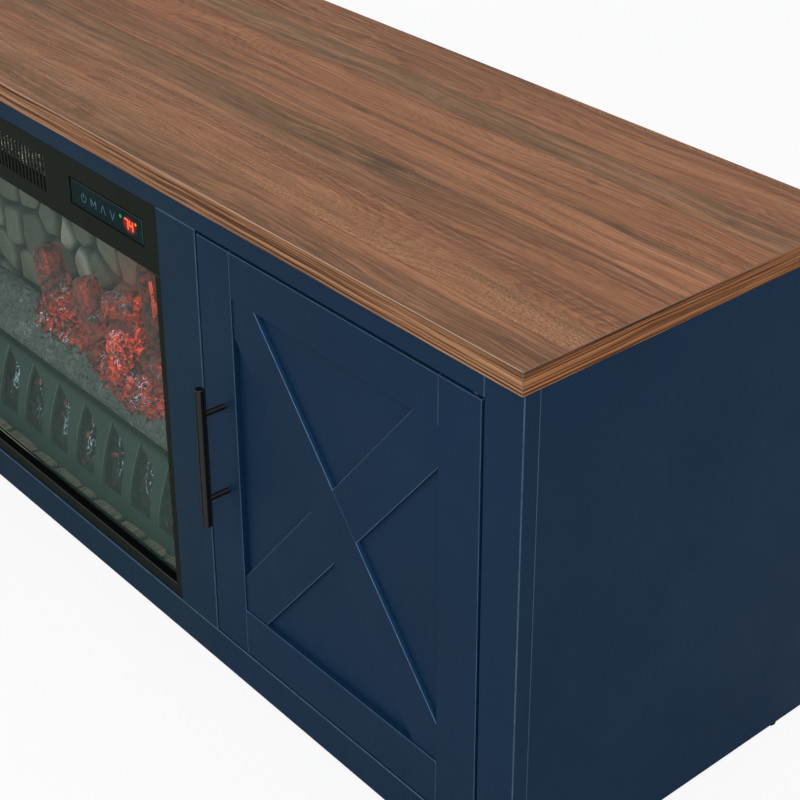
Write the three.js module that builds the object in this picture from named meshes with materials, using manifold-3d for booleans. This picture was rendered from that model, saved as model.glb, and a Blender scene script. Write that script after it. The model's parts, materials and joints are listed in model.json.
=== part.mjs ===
// Fireplace TV stand: a low media cabinet with a walnut laminate top, a painted face frame, two
// inset doors with crossed braces, and an electric fire insert in the middle bay.
// Units are millimetres, with +X right, +Y back and +Z up. The origin is the middle of the
// footprint, handles included, on the floor.
import * as THREE from "three";
import { ConvexGeometry } from "three/addons/geometries/ConvexGeometry.js";
import { mergeVertices } from "three/addons/utils/BufferGeometryUtils.js";
import Module from "manifold-3d";

const wasm = await Module();
wasm.setup();

// Cabinet body
const cabinetWidth = 1623;
const bodyHeight = 527.5;
const bodyDepth = 412;
const panelThickness = 15;
const backThickness = 3;
const backRise = 26;
const backDrop = 2;
const backSideInset = 3;
const stretcherHeight = 70;
const cableHoleDiameter = 50;
const cableHoleHeight = 130;

// Top slab
const topThickness = 22.5;
const topFrontOverhang = 4;
const topSideOverhang = 1.5;
const topRearOverhang = 2;
const topEase = 0.6;

// Face frame
const faceThickness = 17;
const outerStileWidth = 45;
const centreStileWidth = 65;
const topRailHeight = 23;
const bottomRailHeight = 41;
const boardEase = 0.9;
const innerEase = 0.5;

// Floor glides
const glideHeight = 4;
const glideDiameter = 14;
const glideInset = 42;
const glideEase = 1;

// Shelves behind the doors
const shelfSetback = 33;
const shelfRearGap = 2;
const shelfSideGap = 0.5;
const shelfRiseShare = 0.48;

// Doors
const doorGap = 3;
const doorPanelThickness = 12;
const doorStripThickness = 6;
const doorStileWidth = 51;
const doorTopRailHeight = 48;
const doorBottomRailHeight = 54;
const braceWidth = 51;
const braceRecess = 1.6;
const seamGap = 0.3;

// Door pivots
const pivotInset = 10;
const pivotSetback = 7;
const pinDiameter = 5;
const pinClearance = 0.4;
const pinEngagement = 12;
const pinCollarDiameter = 9;
const pinCollarGap = 0.3;
const pinBoreExtra = 2;

// Door handles
const handleBarDiameter = 10;
const handleBarLength = 156;
const handleCentres = 96;
const handleProjection = 32;
const handlePostDiameter = 6;
const handleInset = 31;
const handleRaise = 8;
const handleEase = 0.8;

// Magnet catches
const catchReach = 18;
const catchFoot = 24;
const catchDepth = 12;
const catchHeight = 14;
const catchDrop = 60;
const catchCornerRadius = 3;
const strikeThickness = 1;
const strikeGap = 0.3;

// Fire insert: fascia, glass and control panel
const insertWidth = 610;
const insertGap = 0.5;
const fasciaRecess = 2;
const fasciaThickness = 6;
const fasciaEase = 0.7;
const fasciaTopHeight = 77;
const fasciaSideWidth = 11.5;
const fasciaBottomHeight = 14;
const ventSlotWidth = 3.8;
const ventPitch = 7.3;
const ventSlotCount = 26;
const ventHeight = 41;
const ventEase = 0.5;
const controlWidth = 137;
const controlHeight = 31;
const controlInset = 26;
const controlRecess = 2;
const controlRim = 4;
const controlDepth = 16;
const glassThickness = 4;
const glassLap = 5;

// Fire insert: casing
const casingSideInset = 8;
const casingTopDrop = 11.5;
const casingDepth = 150;
const sheet = 1.2;
const casingFlangeGap = 2;
const casingFlangeTop = 10;
const casingPartition = 1.2;
const casingLipHeight = 15;
const casingWindowInset = 6;
const intakeSlotWidth = 5;
const intakeSlotHeight = 28;
const intakePitch = 14;
const intakeSlotCount = 14;
const inletEdgeInset = 57;
const inletHeight = 34;
const inletBodyDiameter = 12;
const inletFlangeDiameter = 18;
const inletFlangeThickness = 2;
const inletNoseLength = 3;
const inletBodyLength = 14;
const inletBore = 7.4;

// Fire insert: stone wall, grate and log set
const stoneBoardThickness = 5;
const stoneWallInset = 1.8;
const stoneWallGap = 3.9;
const stoneRows = 9;
const stoneColumns = 10;
const stoneRelief = 15;
const stoneFillShare = 1.16;
const stoneVaryShare = 0.14;
const stonePhases = [3.7, 2.3];
const stoneFacets = 8;
const grateHeight = 100.3;
const grateFootHeight = 9;
const grateTopSetback = 54;
const grateFootSetback = 33;
const grateThickness = 4;
const grateSideGap = 1.8;
const grateLowRailHeight = 19;
const grateTopRailHeight = 7;
const grateTopRailDepth = 8;
const grateBayPitch = 58;
const grateBayWidth = 41;
const grateArcSteps = 7;
const bedSideGap = 5.8;
const bedThickness = 6;
const bedFrontHeight = 116;
const bedRise = 38;
const bedFrontSetback = 63;
const bedSlopeDepth = 24;
const bedBackDepth = 20;
const logLargeRadius = 25;
const logSmallRadius = 18;
const logFacets = 12;

// Fire insert: heater, blower and flame effect
const ductLength = 190;
const ductFrontSetback = 24;
const ductSheet = 1.4;
const ductIntakeMargin = 6;
const wheelTipGap = 4.45;
const wheelGap = 2.4;
const wheelSetback = 96;
const bladeCount = 18;
const bladeThickness = 1;
const bladeDepth = 7;
const bladeTiltAngle = 0.6;
const wheelDiscThickness = 1.5;
const shaftDiameter = 5;
const shaftClearance = 0.4;
const bearingGap = 0.3;
const blowerMotorDiameter = 40;
const blowerMotorLength = 30;
const motorCanShare = 0.7;
const motorSocketShare = 0.35;
const elementDepth = 12;
const elementSetback = 36;
const elementFinPitch = 8;
const elementFinGap = 5;
const elementFrame = 4;
const elementEndGap = 0.3;
const rotorGap = 8;
const rotorRise = 62;
const rotorPaddles = 9;
const rotorPaddleLength = 38;
const rotorPaddleHeight = 30;
const rotorPaddleThickness = 1;
const rotorTwistAngle = 0.7;
const rotorMotorDiameter = 44;
const rotorMotorLength = 20;

// One overrun serves all cuts
const overrun = 1;
const roundSteps = 24;
const smallRoundSteps = 16;

// Levels and places worked out from the sizes above
const bodyBase = glideHeight;
const bodyTop = bodyBase + bodyHeight;
const openingBottom = bodyBase + bottomRailHeight;
const openingTop = bodyTop - topRailHeight;
const halfCabinet = cabinetWidth / 2;
const halfBay = insertWidth / 2 + insertGap;
const centreStileOuter = halfBay + centreStileWidth;
const outerStileInner = halfCabinet - outerStileWidth;
const dividerCentre = halfBay + centreStileWidth / 2;
const dividerInner = dividerCentre - panelThickness / 2;
const dividerOuter = dividerCentre + panelThickness / 2;
const sideInner = halfCabinet - panelThickness;
const faceFront = -(bodyDepth + topRearOverhang - handleProjection) / 2;
const faceBack = faceFront + faceThickness;
const carcassBack = faceFront + bodyDepth - backThickness;
const bottomPanelBase = openingBottom - panelThickness;
const doorFree = centreStileOuter + doorGap;
const doorHinge = outerStileInner - doorGap;
const doorBottom = openingBottom + doorGap;
const doorTop = openingTop - doorGap;
const stripBack = faceFront + doorStripThickness;
const doorBack = stripBack + doorPanelThickness;
const pivotX = doorHinge - pivotInset;
const pivotY = faceFront + pivotSetback;

// Finishes
function finish(color, roughness, metalness = 0) {
  return { color, roughness, metalness };
}

const navyPaint = finish(0x1e324a, 0.5);
const walnut = finish(0x8a6a50, 0.5);
const boardCore = finish(0x22364d, 0.6);
const hardboard = finish(0x4a3a2e, 0.8);
const blackMetal = finish(0x171716, 0.4, 0.6);
const blackFascia = finish(0x21241f, 0.55);
const clearGlass = finish(0x9db3ab, 0.05);
const touchGlass = finish(0x101c20, 0.15);
const darkSheet = finish(0x1b1c1c, 0.6, 0.5);
const zincSteel = finish(0xa9abad, 0.4, 0.9);
const stoneFinish = finish(0x6d6a60, 0.9);
const grateFinish = finish(0x2f3b39, 0.6);
const emberFinish = finish(0xb8382c, 0.7);
const nylon = finish(0x1c1c1c, 0.7);
const foil = finish(0xc9c6bd, 0.25, 0.9);

// Puts one named mesh into a group
function add(group, name, geometry, look) {
  const material = new THREE.MeshStandardMaterial(look);
  geometry.computeVertexNormals();
  const mesh = new THREE.Mesh(geometry, material);
  mesh.name = name;
  group.add(mesh);
  return mesh;
}

// Closed geometry with shared corners, as a solid for joins and cuts
function toSolid(geometry) {
  const loose = geometry.index ? geometry.toNonIndexed() : geometry;
  const bare = new THREE.BufferGeometry();
  bare.setAttribute("position", loose.getAttribute("position").clone());
  const merged = mergeVertices(bare);
  const vertProperties = merged.getAttribute("position").array;
  const triVerts = new Uint32Array(merged.index.array);
  return new wasm.Manifold(new wasm.Mesh({ numProp: 3, vertProperties, triVerts }));
}

function toGeometry(solid) {
  const mesh = solid.getMesh();
  const geometry = new THREE.BufferGeometry();
  geometry.setAttribute("position", new THREE.BufferAttribute(mesh.vertProperties, 3));
  geometry.setIndex(new THREE.BufferAttribute(mesh.triVerts, 1));
  return geometry.toNonIndexed();
}

function join(first, ...others) {
  return toGeometry(others.reduce((whole, next) => whole.add(toSolid(next)), toSolid(first)));
}

function cut(body, ...tools) {
  return toGeometry(tools.reduce((rest, tool) => rest.subtract(toSolid(tool)), toSolid(body)));
}

// Box between two corners. Each coordinate is taken as it is, so that neighbours meet exactly.
function block(x, y, z) {
  const box = new THREE.BoxGeometry(1, 1, 1);
  const corner = box.getAttribute("position");
  for (let i = 0; i < corner.count; i += 1) {
    const pick = (range, at) => range[at > 0 ? 1 : 0];
    corner.setXYZ(i, pick(x, corner.getX(i)), pick(y, corner.getY(i)), pick(z, corner.getZ(i)));
  }
  return box;
}

// Board between two corners with every arris eased
function board(x, y, z, ease) {
  const points = [];
  for (const i of [0, 1]) {
    for (const j of [0, 1]) {
      for (const k of [0, 1]) {
        const inX = x[i] + (i ? -ease : ease);
        const inY = y[j] + (j ? -ease : ease);
        const inZ = z[k] + (k ? -ease : ease);
        points.push(new THREE.Vector3(x[i], inY, inZ));
        points.push(new THREE.Vector3(inX, y[j], inZ));
        points.push(new THREE.Vector3(inX, inY, z[k]));
      }
    }
  }
  return new ConvexGeometry(points);
}

function centred(middle, size) {
  return [middle - size / 2, middle + size / 2];
}

// Outline drawn in X and Z, standing upright between two depths, with its front and back eased
function standingPlate(shape, front, back, ease) {
  const plate = new THREE.ExtrudeGeometry(shape, {
    depth: back - front - 2 * ease,
    bevelEnabled: ease > 0,
    bevelThickness: ease,
    bevelSize: ease,
    bevelOffset: -ease,
    bevelSegments: 1,
    steps: 1,
  });
  const upright = new THREE.Matrix4().set(1, 0, 0, 0, 0, 0, -1, back - ease, 0, 1, 0, 0, 0, 0, 0, 1);
  return plate.applyMatrix4(upright);
}

// Outline drawn in Y and Z, run along X between two ends
function runAlongX(shape, x) {
  const run = new THREE.ExtrudeGeometry(shape, { depth: x[1] - x[0], bevelEnabled: false, steps: 1 });
  const lying = new THREE.Matrix4().set(0, 0, 1, x[0], 1, 0, 0, 0, 0, 1, 0, 0, 0, 0, 0, 1);
  return run.applyMatrix4(lying);
}

// Outline drawn in X and Y, run up Z between two levels
function runAlongZ(shape, z) {
  const run = new THREE.ExtrudeGeometry(shape, { depth: z[1] - z[0], bevelEnabled: false, steps: 1 });
  return run.translate(0, 0, z[0]);
}

function outline(points) {
  return new THREE.Shape(points.map(([across, up]) => new THREE.Vector2(across, up)));
}

// Turned piece about an axis through a point: profile pairs are radius and place along the axis
const alongX = new THREE.Matrix4().set(0, 1, 0, 0, 0, 0, 1, 0, 1, 0, 0, 0, 0, 0, 0, 1);
const alongY = new THREE.Matrix4().set(0, 0, 1, 0, 0, 1, 0, 0, -1, 0, 0, 0, 0, 0, 0, 1);
const alongZ = new THREE.Matrix4().set(0, 0, 1, 0, 1, 0, 0, 0, 0, 1, 0, 0, 0, 0, 0, 1);

function turned(profile, steps, direction, at = [0, 0, 0]) {
  const points = profile.map(([radius, along]) => new THREE.Vector2(radius, along));
  const lathe = new THREE.LatheGeometry(points, steps);
  return lathe.applyMatrix4(direction).translate(...at);
}

function rod(diameter, from, to, steps, direction, at) {
  const radius = diameter / 2;
  return turned([[0, from], [radius, from], [radius, to], [0, to]], steps, direction, at);
}

const stand = new THREE.Group();
const right = new THREE.Group();
const left = new THREE.Group();
left.scale.x = -1;
stand.add(right, left);
const sides = [["right", right], ["left", left]];

// Carcass: top, bottom, back stretcher, and the mirrored sides, dividers, backs and shelves
const carcassDepth = [faceBack, carcassBack];
const topX = centred(0, cabinetWidth + 2 * topSideOverhang);
const topY = [faceFront - topFrontOverhang, faceFront + bodyDepth + topRearOverhang];
add(stand, "top_panel", board(topX, topY, [bodyTop, bodyTop + topThickness], topEase), walnut);
const bottomPanel = block([-sideInner, sideInner], carcassDepth, [bottomPanelBase, openingBottom]);
add(stand, "bottom_panel", bottomPanel, boardCore);
const stretcherY = [carcassBack - panelThickness, carcassBack];
const stretcherZ = [bodyTop - stretcherHeight, bodyTop];
add(stand, "rear_stretcher", block([-dividerInner, dividerInner], stretcherY, stretcherZ), boardCore);

function backPanel() {
  const y = [carcassBack, carcassBack + backThickness];
  const z = [bodyBase + backRise, bodyTop - backDrop];
  const sheetBoard = block([dividerCentre, halfCabinet - backSideInset], y, z);
  const holeAt = [(dividerOuter + sideInner) / 2, 0, openingBottom + cableHoleHeight];
  const bore = [y[0] - overrun, y[1] + overrun];
  return cut(sheetBoard, rod(cableHoleDiameter, bore[0], bore[1], roundSteps, alongY, holeAt));
}

function shelf() {
  const clear = openingBottom + (bodyTop - openingBottom) * shelfRiseShare;
  const x = [dividerOuter + shelfSideGap, sideInner - shelfSideGap];
  const y = [faceBack + shelfSetback, carcassBack - shelfRearGap];
  return board(x, y, centred(clear, panelThickness), innerEase);
}

function glide() {
  const radius = glideDiameter / 2;
  const profile = [
    [0, 0],
    [radius - glideEase, 0],
    [radius, glideEase],
    [radius, glideHeight],
    [0, glideHeight],
  ];
  return turned(profile, smallRoundSteps, alongZ);
}

const glidePlaces = [["front", faceFront + glideInset], ["rear", carcassBack - glideInset]];

for (const [side, group] of sides) {
  const sidePanel = board([sideInner, halfCabinet], carcassDepth, [bodyBase, bodyTop], innerEase);
  add(group, `${side}_side_panel`, sidePanel, navyPaint);
  const divider = block([dividerInner, dividerOuter], carcassDepth, [openingBottom, bodyTop]);
  add(group, `${side}_divider`, divider, boardCore);
  add(group, `${side}_back_panel`, backPanel(), hardboard);
  add(group, `${side}_shelf`, shelf(), boardCore);
  for (const [place, y] of glidePlaces) {
    const foot = add(group, `${side}_${place}_glide`, glide(), nylon);
    foot.position.set((sideInner + halfCabinet) / 2, y, 0);
  }
}

// Face frame: the rails run between the outer stiles, and the centre stiles between the rails
const faceY = [faceFront, faceBack];
const railX = [-outerStileInner, outerStileInner];
const boreDiameter = pinDiameter + 2 * pinClearance;
const boreDepth = pinEngagement + pinBoreExtra;

function pivotBores(from, to) {
  return [-pivotX, pivotX].map((x) => rod(boreDiameter, from, to, smallRoundSteps, alongZ, [x, pivotY, 0]));
}

const topRail = board(railX, faceY, [openingTop, bodyTop], boardEase);
const topBores = pivotBores(openingTop - overrun, openingTop + boreDepth);
add(stand, "top_rail", cut(topRail, ...topBores), navyPaint);
const bottomRail = board(railX, faceY, [bodyBase, openingBottom], boardEase);
const bottomBores = pivotBores(openingBottom - boreDepth, openingBottom + overrun);
add(stand, "bottom_rail", cut(bottomRail, ...bottomBores), navyPaint);

for (const [side, group] of sides) {
  const outer = board([outerStileInner, halfCabinet], faceY, [bodyBase, bodyTop], boardEase);
  add(group, `${side}_outer_stile`, outer, navyPaint);
  const centre = board([halfBay, centreStileOuter], faceY, [openingBottom, openingTop], boardEase);
  add(group, `${side}_centre_stile`, centre, navyPaint);
}

// Pivot pin standing on its rail: the collar fills the door gap and carries the door
function pivotPin() {
  const radius = pinDiameter / 2;
  const collar = pinCollarDiameter / 2;
  const shoulder = doorGap - pinCollarGap;
  const profile = [
    [0, -pinEngagement],
    [radius, -pinEngagement],
    [radius, 0],
    [collar, 0],
    [collar, shoulder],
    [radius, shoulder],
    [radius, shoulder + pinEngagement],
    [0, shoulder + pinEngagement],
  ];
  return turned(profile, smallRoundSteps, alongZ);
}

for (const [side, group] of sides) {
  const lower = add(group, `${side}_lower_pivot_pin`, pivotPin(), zincSteel);
  lower.position.set(pivotX, pivotY, openingBottom);
  const upper = add(group, `${side}_upper_pivot_pin`, pivotPin(), zincSteel);
  upper.position.set(pivotX, pivotY, openingTop);
  upper.rotation.x = Math.PI;
}

// Magnet catch on the back of the centre stile, seen from above as a foot and a nose
function magnetCatch() {
  const front = doorBack + strikeThickness + strikeGap;
  const tip = centreStileOuter + catchReach;
  const radius = catchCornerRadius;
  const plan = new THREE.Shape();
  plan.moveTo(centreStileOuter - catchFoot, faceBack);
  plan.lineTo(centreStileOuter, faceBack);
  plan.lineTo(centreStileOuter, front);
  plan.lineTo(tip, front);
  plan.lineTo(tip, front + catchDepth - radius);
  plan.absarc(tip - radius, front + catchDepth - radius, radius, 0, Math.PI / 2, false);
  plan.lineTo(centreStileOuter - catchFoot, front + catchDepth);
  plan.closePath();
  return runAlongZ(plan, centred(doorTop - catchDrop, catchHeight));
}

for (const [side, group] of sides) {
  add(group, `${side}_magnet_catch`, magnetCatch(), nylon);
}

// Door: a panel carrying stiles, rails and crossed braces as applied strips
const recessX = [doorFree + doorStileWidth + seamGap, doorHinge - doorStileWidth - seamGap];
const recessZ = [doorBottom + doorBottomRailHeight + seamGap, doorTop - doorTopRailHeight - seamGap];
const stripY = [faceFront, stripBack];
const braceY = [faceFront + braceRecess, stripBack];

// One brace strip on the recess's diagonal, rising one way or the other, wider by an allowance
function diagonalStrip(rising, allowance) {
  const across = recessX[1] - recessX[0];
  const up = recessZ[1] - recessZ[0];
  const reach = across + up;
  const slope = Math.atan2(up, across);
  const strip = board(centred(0, reach), braceY, centred(0, braceWidth + 2 * allowance), innerEase);
  strip.rotateY(rising ? -slope : slope);
  const middle = [(recessX[0] + recessX[1]) / 2, (recessZ[0] + recessZ[1]) / 2];
  return strip.translate(middle[0], 0, middle[1]);
}

function braces() {
  const room = toSolid(block(recessX, [faceFront, stripBack], recessZ));
  const falling = toSolid(diagonalStrip(false, 0)).intersect(room);
  const widened = toSolid(diagonalStrip(false, seamGap));
  const rising = toSolid(diagonalStrip(true, 0)).intersect(room).subtract(widened);
  const halves = rising.decompose();
  const height = (half) => half.boundingBox().max[2];
  halves.sort((a, b) => height(b) - height(a));
  return [falling, halves[0], halves[1]].map(toGeometry);
}

function handle() {
  const radius = handleBarDiameter / 2;
  const half = handleBarLength / 2;
  const barY = -(handleProjection - radius);
  const profile = [
    [0, -half],
    [radius - handleEase, -half],
    [radius, -half + handleEase],
    [radius, half - handleEase],
    [radius - handleEase, half],
    [0, half],
  ];
  const bar = turned(profile, smallRoundSteps, alongZ, [0, barY, 0]);
  const posts = [-1, 1].map((end) => {
    const at = [0, 0, (end * handleCentres) / 2];
    return rod(handlePostDiameter, barY, 0, smallRoundSteps, alongY, at);
  });
  return join(bar, ...posts);
}

for (const [side, group] of sides) {
  const doorZ = [doorBottom, doorTop];
  const boreSpans = [
    [doorBottom - overrun, doorBottom + boreDepth],
    [doorTop - boreDepth, doorTop + overrun],
  ];
  const bores = boreSpans.map(([from, to]) => {
    return rod(boreDiameter, from, to, smallRoundSteps, alongZ, [pivotX, pivotY, 0]);
  });
  const panel = board([doorFree, doorHinge], [stripBack, doorBack], doorZ, innerEase);
  add(group, `${side}_door_panel`, cut(panel, ...bores), navyPaint);
  const hingeStile = board([doorHinge - doorStileWidth, doorHinge], stripY, doorZ, innerEase);
  add(group, `${side}_door_hinge_stile`, cut(hingeStile, ...bores), navyPaint);
  const lockStile = board([doorFree, doorFree + doorStileWidth], stripY, doorZ, innerEase);
  add(group, `${side}_door_lock_stile`, lockStile, navyPaint);
  const betweenStiles = [doorFree + doorStileWidth, doorHinge - doorStileWidth];
  const upperRail = board(betweenStiles, stripY, [doorTop - doorTopRailHeight, doorTop], innerEase);
  add(group, `${side}_door_top_rail`, upperRail, navyPaint);
  const lowerRail = board(betweenStiles, stripY, [doorBottom, doorBottom + doorBottomRailHeight], innerEase);
  add(group, `${side}_door_bottom_rail`, lowerRail, navyPaint);
  const [long, upper, lower] = braces();
  add(group, `${side}_door_long_brace`, long, navyPaint);
  add(group, `${side}_door_upper_brace`, upper, navyPaint);
  add(group, `${side}_door_lower_brace`, lower, navyPaint);
  const pull = add(group, `${side}_door_handle`, handle(), blackMetal);
  pull.position.set(doorFree + handleInset, faceFront, (doorBottom + doorTop) / 2 + handleRaise);
}

// Fire insert, placed from the front of the face frame
const fasciaFront = faceFront + fasciaRecess;
const fasciaBack = fasciaFront + fasciaThickness;
const fasciaX = centred(0, insertWidth);
const fasciaZ = [openingBottom + insertGap, openingTop - insertGap];
const fasciaSeam = fasciaZ[1] - fasciaTopHeight;
const windowX = [fasciaX[0] + fasciaSideWidth, fasciaX[1] - fasciaSideWidth];
const windowBottom = fasciaZ[0] + fasciaBottomHeight;
const fasciaTopMiddle = (fasciaSeam + fasciaZ[1]) / 2;
const controlX = [fasciaX[1] - controlInset - controlWidth, fasciaX[1] - controlInset];
const controlZ = centred(fasciaTopMiddle, controlHeight);

// Fascia top panel with the warm-air slots and the opening for the touch panel
function fasciaTop() {
  const plate = board(fasciaX, [fasciaFront, fasciaBack], [fasciaSeam, fasciaZ[1]], ventEase);
  const through = [fasciaFront - overrun, fasciaBack + overrun];
  const slotZ = centred(fasciaTopMiddle, ventHeight);
  const openings = [block(controlX, through, controlZ)];
  for (let i = 0; i < ventSlotCount; i += 1) {
    const middle = (i - (ventSlotCount - 1) / 2) * ventPitch;
    openings.push(block(centred(middle, ventSlotWidth), through, slotZ));
  }
  return cut(plate, ...openings);
}

add(stand, "fascia_top", fasciaTop(), blackFascia);

// Fascia frame: one piece down both sides and along the bottom of the glass
const fasciaLegTop = fasciaSeam - seamGap;
const fasciaFrame = outline([
  [fasciaX[0], fasciaZ[0]],
  [fasciaX[1], fasciaZ[0]],
  [fasciaX[1], fasciaLegTop],
  [windowX[1], fasciaLegTop],
  [windowX[1], windowBottom],
  [windowX[0], windowBottom],
  [windowX[0], fasciaLegTop],
  [fasciaX[0], fasciaLegTop],
]);
add(stand, "fascia_frame", standingPlate(fasciaFrame, fasciaFront, fasciaBack, fasciaEase), blackFascia);

// Touch panel: a glossy window set back in its opening, on a board box behind the fascia
const touchGap = seamGap + ventEase;
const windowY = [fasciaFront + controlRecess, fasciaBack + seamGap];
const boxY = [fasciaBack + seamGap, fasciaBack + seamGap + controlDepth];
const touchWindow = block(
  [controlX[0] + touchGap, controlX[1] - touchGap],
  [windowY[0], windowY[1] + overrun],
  [controlZ[0] + touchGap, controlZ[1] - touchGap],
);
const boardBox = block(
  [controlX[0] - controlRim, controlX[1] + controlRim],
  boxY,
  [controlZ[0] - controlRim, controlZ[1] + controlRim],
);
add(stand, "control_panel", join(touchWindow, boardBox), touchGlass);

// Glass behind the fascia, lapped on all four edges
const glassFront = fasciaBack + seamGap;
const glassBack = glassFront + glassThickness;
const glassX = [windowX[0] - glassLap, windowX[1] + glassLap];
const glassZ = [windowBottom - glassLap, fasciaSeam + glassLap];
add(stand, "fire_glass", block(glassX, [glassFront, glassBack], glassZ), clearGlass);

// Sheet-metal casing: a flange round the glass, a firebox below and a heater chamber above
const casingX = centred(0, insertWidth - 2 * casingSideInset);
const casingFront = glassBack + seamGap;
const casingBack = casingFront + casingDepth;
const casingZ = [openingBottom, openingTop - casingTopDrop];
const innerX = [casingX[0] + sheet, casingX[1] - sheet];
const partitionZ = [glassZ[1] + seamGap, glassZ[1] + seamGap + casingPartition];
const fireboxZ = [casingZ[0] + sheet, partitionZ[0]];
const chamberZ = [partitionZ[1], casingZ[1] - sheet];
const chamberMiddle = (chamberZ[0] + chamberZ[1]) / 2;
const frontWallY = [casingFront, casingFront + sheet];
const innerBack = casingBack - sheet;
const inletAt = [casingX[0] + inletEdgeInset, 0, casingZ[0] + inletHeight];

function casing() {
  const shell = block(casingX, [casingFront, casingBack], casingZ);
  const flangeX = [fasciaX[0] + casingFlangeGap, fasciaX[1] - casingFlangeGap];
  const flangeZ = [fasciaZ[0] + casingFlangeGap, casingZ[1] + casingFlangeTop];
  const flange = block(flangeX, [glassFront, frontWallY[1]], flangeZ);
  const glassSeat = block(
    [glassX[0] - seamGap, glassX[1] + seamGap],
    [glassFront - overrun, casingFront],
    [glassZ[0] - seamGap, flangeZ[1] - casingFlangeTop],
  );
  const firebox = block(innerX, [frontWallY[1], innerBack], fireboxZ);
  const chamber = block(innerX, [frontWallY[1], innerBack], chamberZ);
  const through = [casingFront - overrun, frontWallY[1] + overrun];
  const mouthX = [innerX[0] + casingWindowInset, innerX[1] - casingWindowInset];
  const fireMouth = block(mouthX, through, [casingZ[0] + casingLipHeight, fasciaSeam]);
  const chamberMouth = block(mouthX, through, [chamberZ[0], chamberZ[1] - casingWindowInset]);
  const wallThrough = [innerBack - overrun, casingBack + overrun];
  const intakeZ = centred(chamberMiddle, intakeSlotHeight);
  const intakes = [];
  for (let i = 0; i < intakeSlotCount; i += 1) {
    const middle = (i - (intakeSlotCount - 1) / 2) * intakePitch;
    intakes.push(block(centred(middle, intakeSlotWidth), wallThrough, intakeZ));
  }
  const inletHoleDiameter = inletBodyDiameter + 2 * pinClearance;
  const inletHole = rod(inletHoleDiameter, wallThrough[0], wallThrough[1], smallRoundSteps, alongY, inletAt);
  const cuts = [glassSeat, firebox, chamber, fireMouth, chamberMouth, ...intakes, inletHole];
  return cut(join(shell, flange), ...cuts);
}

add(stand, "firebox_casing", casing(), darkSheet);

// Cord gland in the casing's back
function gland() {
  const body = inletBodyDiameter / 2;
  const rim = inletFlangeDiameter / 2;
  const bore = inletBore / 2;
  const inside = casingBack - inletBodyLength / 2;
  const seat = casingBack + seamGap;
  const rimBack = seat + inletFlangeThickness;
  const tip = rimBack + inletNoseLength;
  const profile = [
    [bore, inside],
    [body, inside],
    [body, seat],
    [rim, seat],
    [rim, rimBack],
    [body, tip],
    [bore, tip],
    [bore, inside],
  ];
  return turned(profile, smallRoundSteps, alongY, inletAt);
}

add(stand, "power_inlet_gland", gland(), nylon);

// Depths shared by the ember bed, the rotor under it and the stone wall behind it
const bedFront = faceFront + bedFrontSetback;
const bedSlopeBack = bedFront + bedSlopeDepth;
const bedBack = bedSlopeBack + bedBackDepth;
const stoneReach = stoneRelief * (1 + stoneVaryShare);
const bedX = [innerX[0] + stoneWallInset + bedSideGap, innerX[1] - stoneWallInset - bedSideGap];
const bedWidth = bedX[1] - bedX[0];

// Moulded stone wall: courses of rounded stones on a thin board
function stoneWall() {
  const x = [innerX[0] + stoneWallInset, innerX[1] - stoneWallInset];
  const z = [fireboxZ[0] + seamGap, fireboxZ[1] - stoneWallInset];
  const boardFront = bedBack + stoneWallGap + stoneReach;
  const boardY = [boardFront, boardFront + stoneBoardThickness];
  const courseHeight = (z[1] - z[0]) / stoneRows;
  const stoneLength = (x[1] - x[0]) / stoneColumns;
  let wall = toSolid(block(x, boardY, z));
  for (let row = 0; row < stoneRows; row += 1) {
    const shift = row % 2 === 0 ? 0 : 0.5;
    for (let column = 0; column + shift < stoneColumns; column += 1) {
      const wave = Math.sin(stonePhases[0] * row + stonePhases[1] * column);
      const swell = Math.cos(stonePhases[1] * row + stonePhases[0] * column);
      const stone = new THREE.SphereGeometry(1, stoneFacets, stoneFacets / 2);
      const halfLength = (stoneLength / 2) * stoneFillShare * (1 + stoneVaryShare * wave);
      const halfHeight = (courseHeight / 2) * stoneFillShare * (1 + stoneVaryShare * swell);
      stone.scale(halfLength, stoneRelief * (1 + stoneVaryShare * swell), halfHeight);
      stone.rotateY(stoneVaryShare * wave);
      const across = x[0] + (column + shift + 0.5) * stoneLength;
      stone.translate(across, boardFront, z[0] + (row + 0.5) * courseHeight);
      wall = wall.add(toSolid(stone));
    }
  }
  return toGeometry(wall.intersect(toSolid(block(x, [boardFront - stoneLength, boardY[1]], z))));
}

add(stand, "stone_wall", stoneWall(), stoneFinish);

// Grate: a curved front that bulges towards the glass, with tall bays between its bars. Each bay's
// head is raked down to the right. Its pairs are shares of the bay's width and of its height.
const bayOutlineShares = [
  [-0.5, 0],
  [0.5, 0],
  [0.5, 0.36],
  [0.41, 0.68],
  [0.3, 0.81],
  [-0.5, 1],
];

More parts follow.
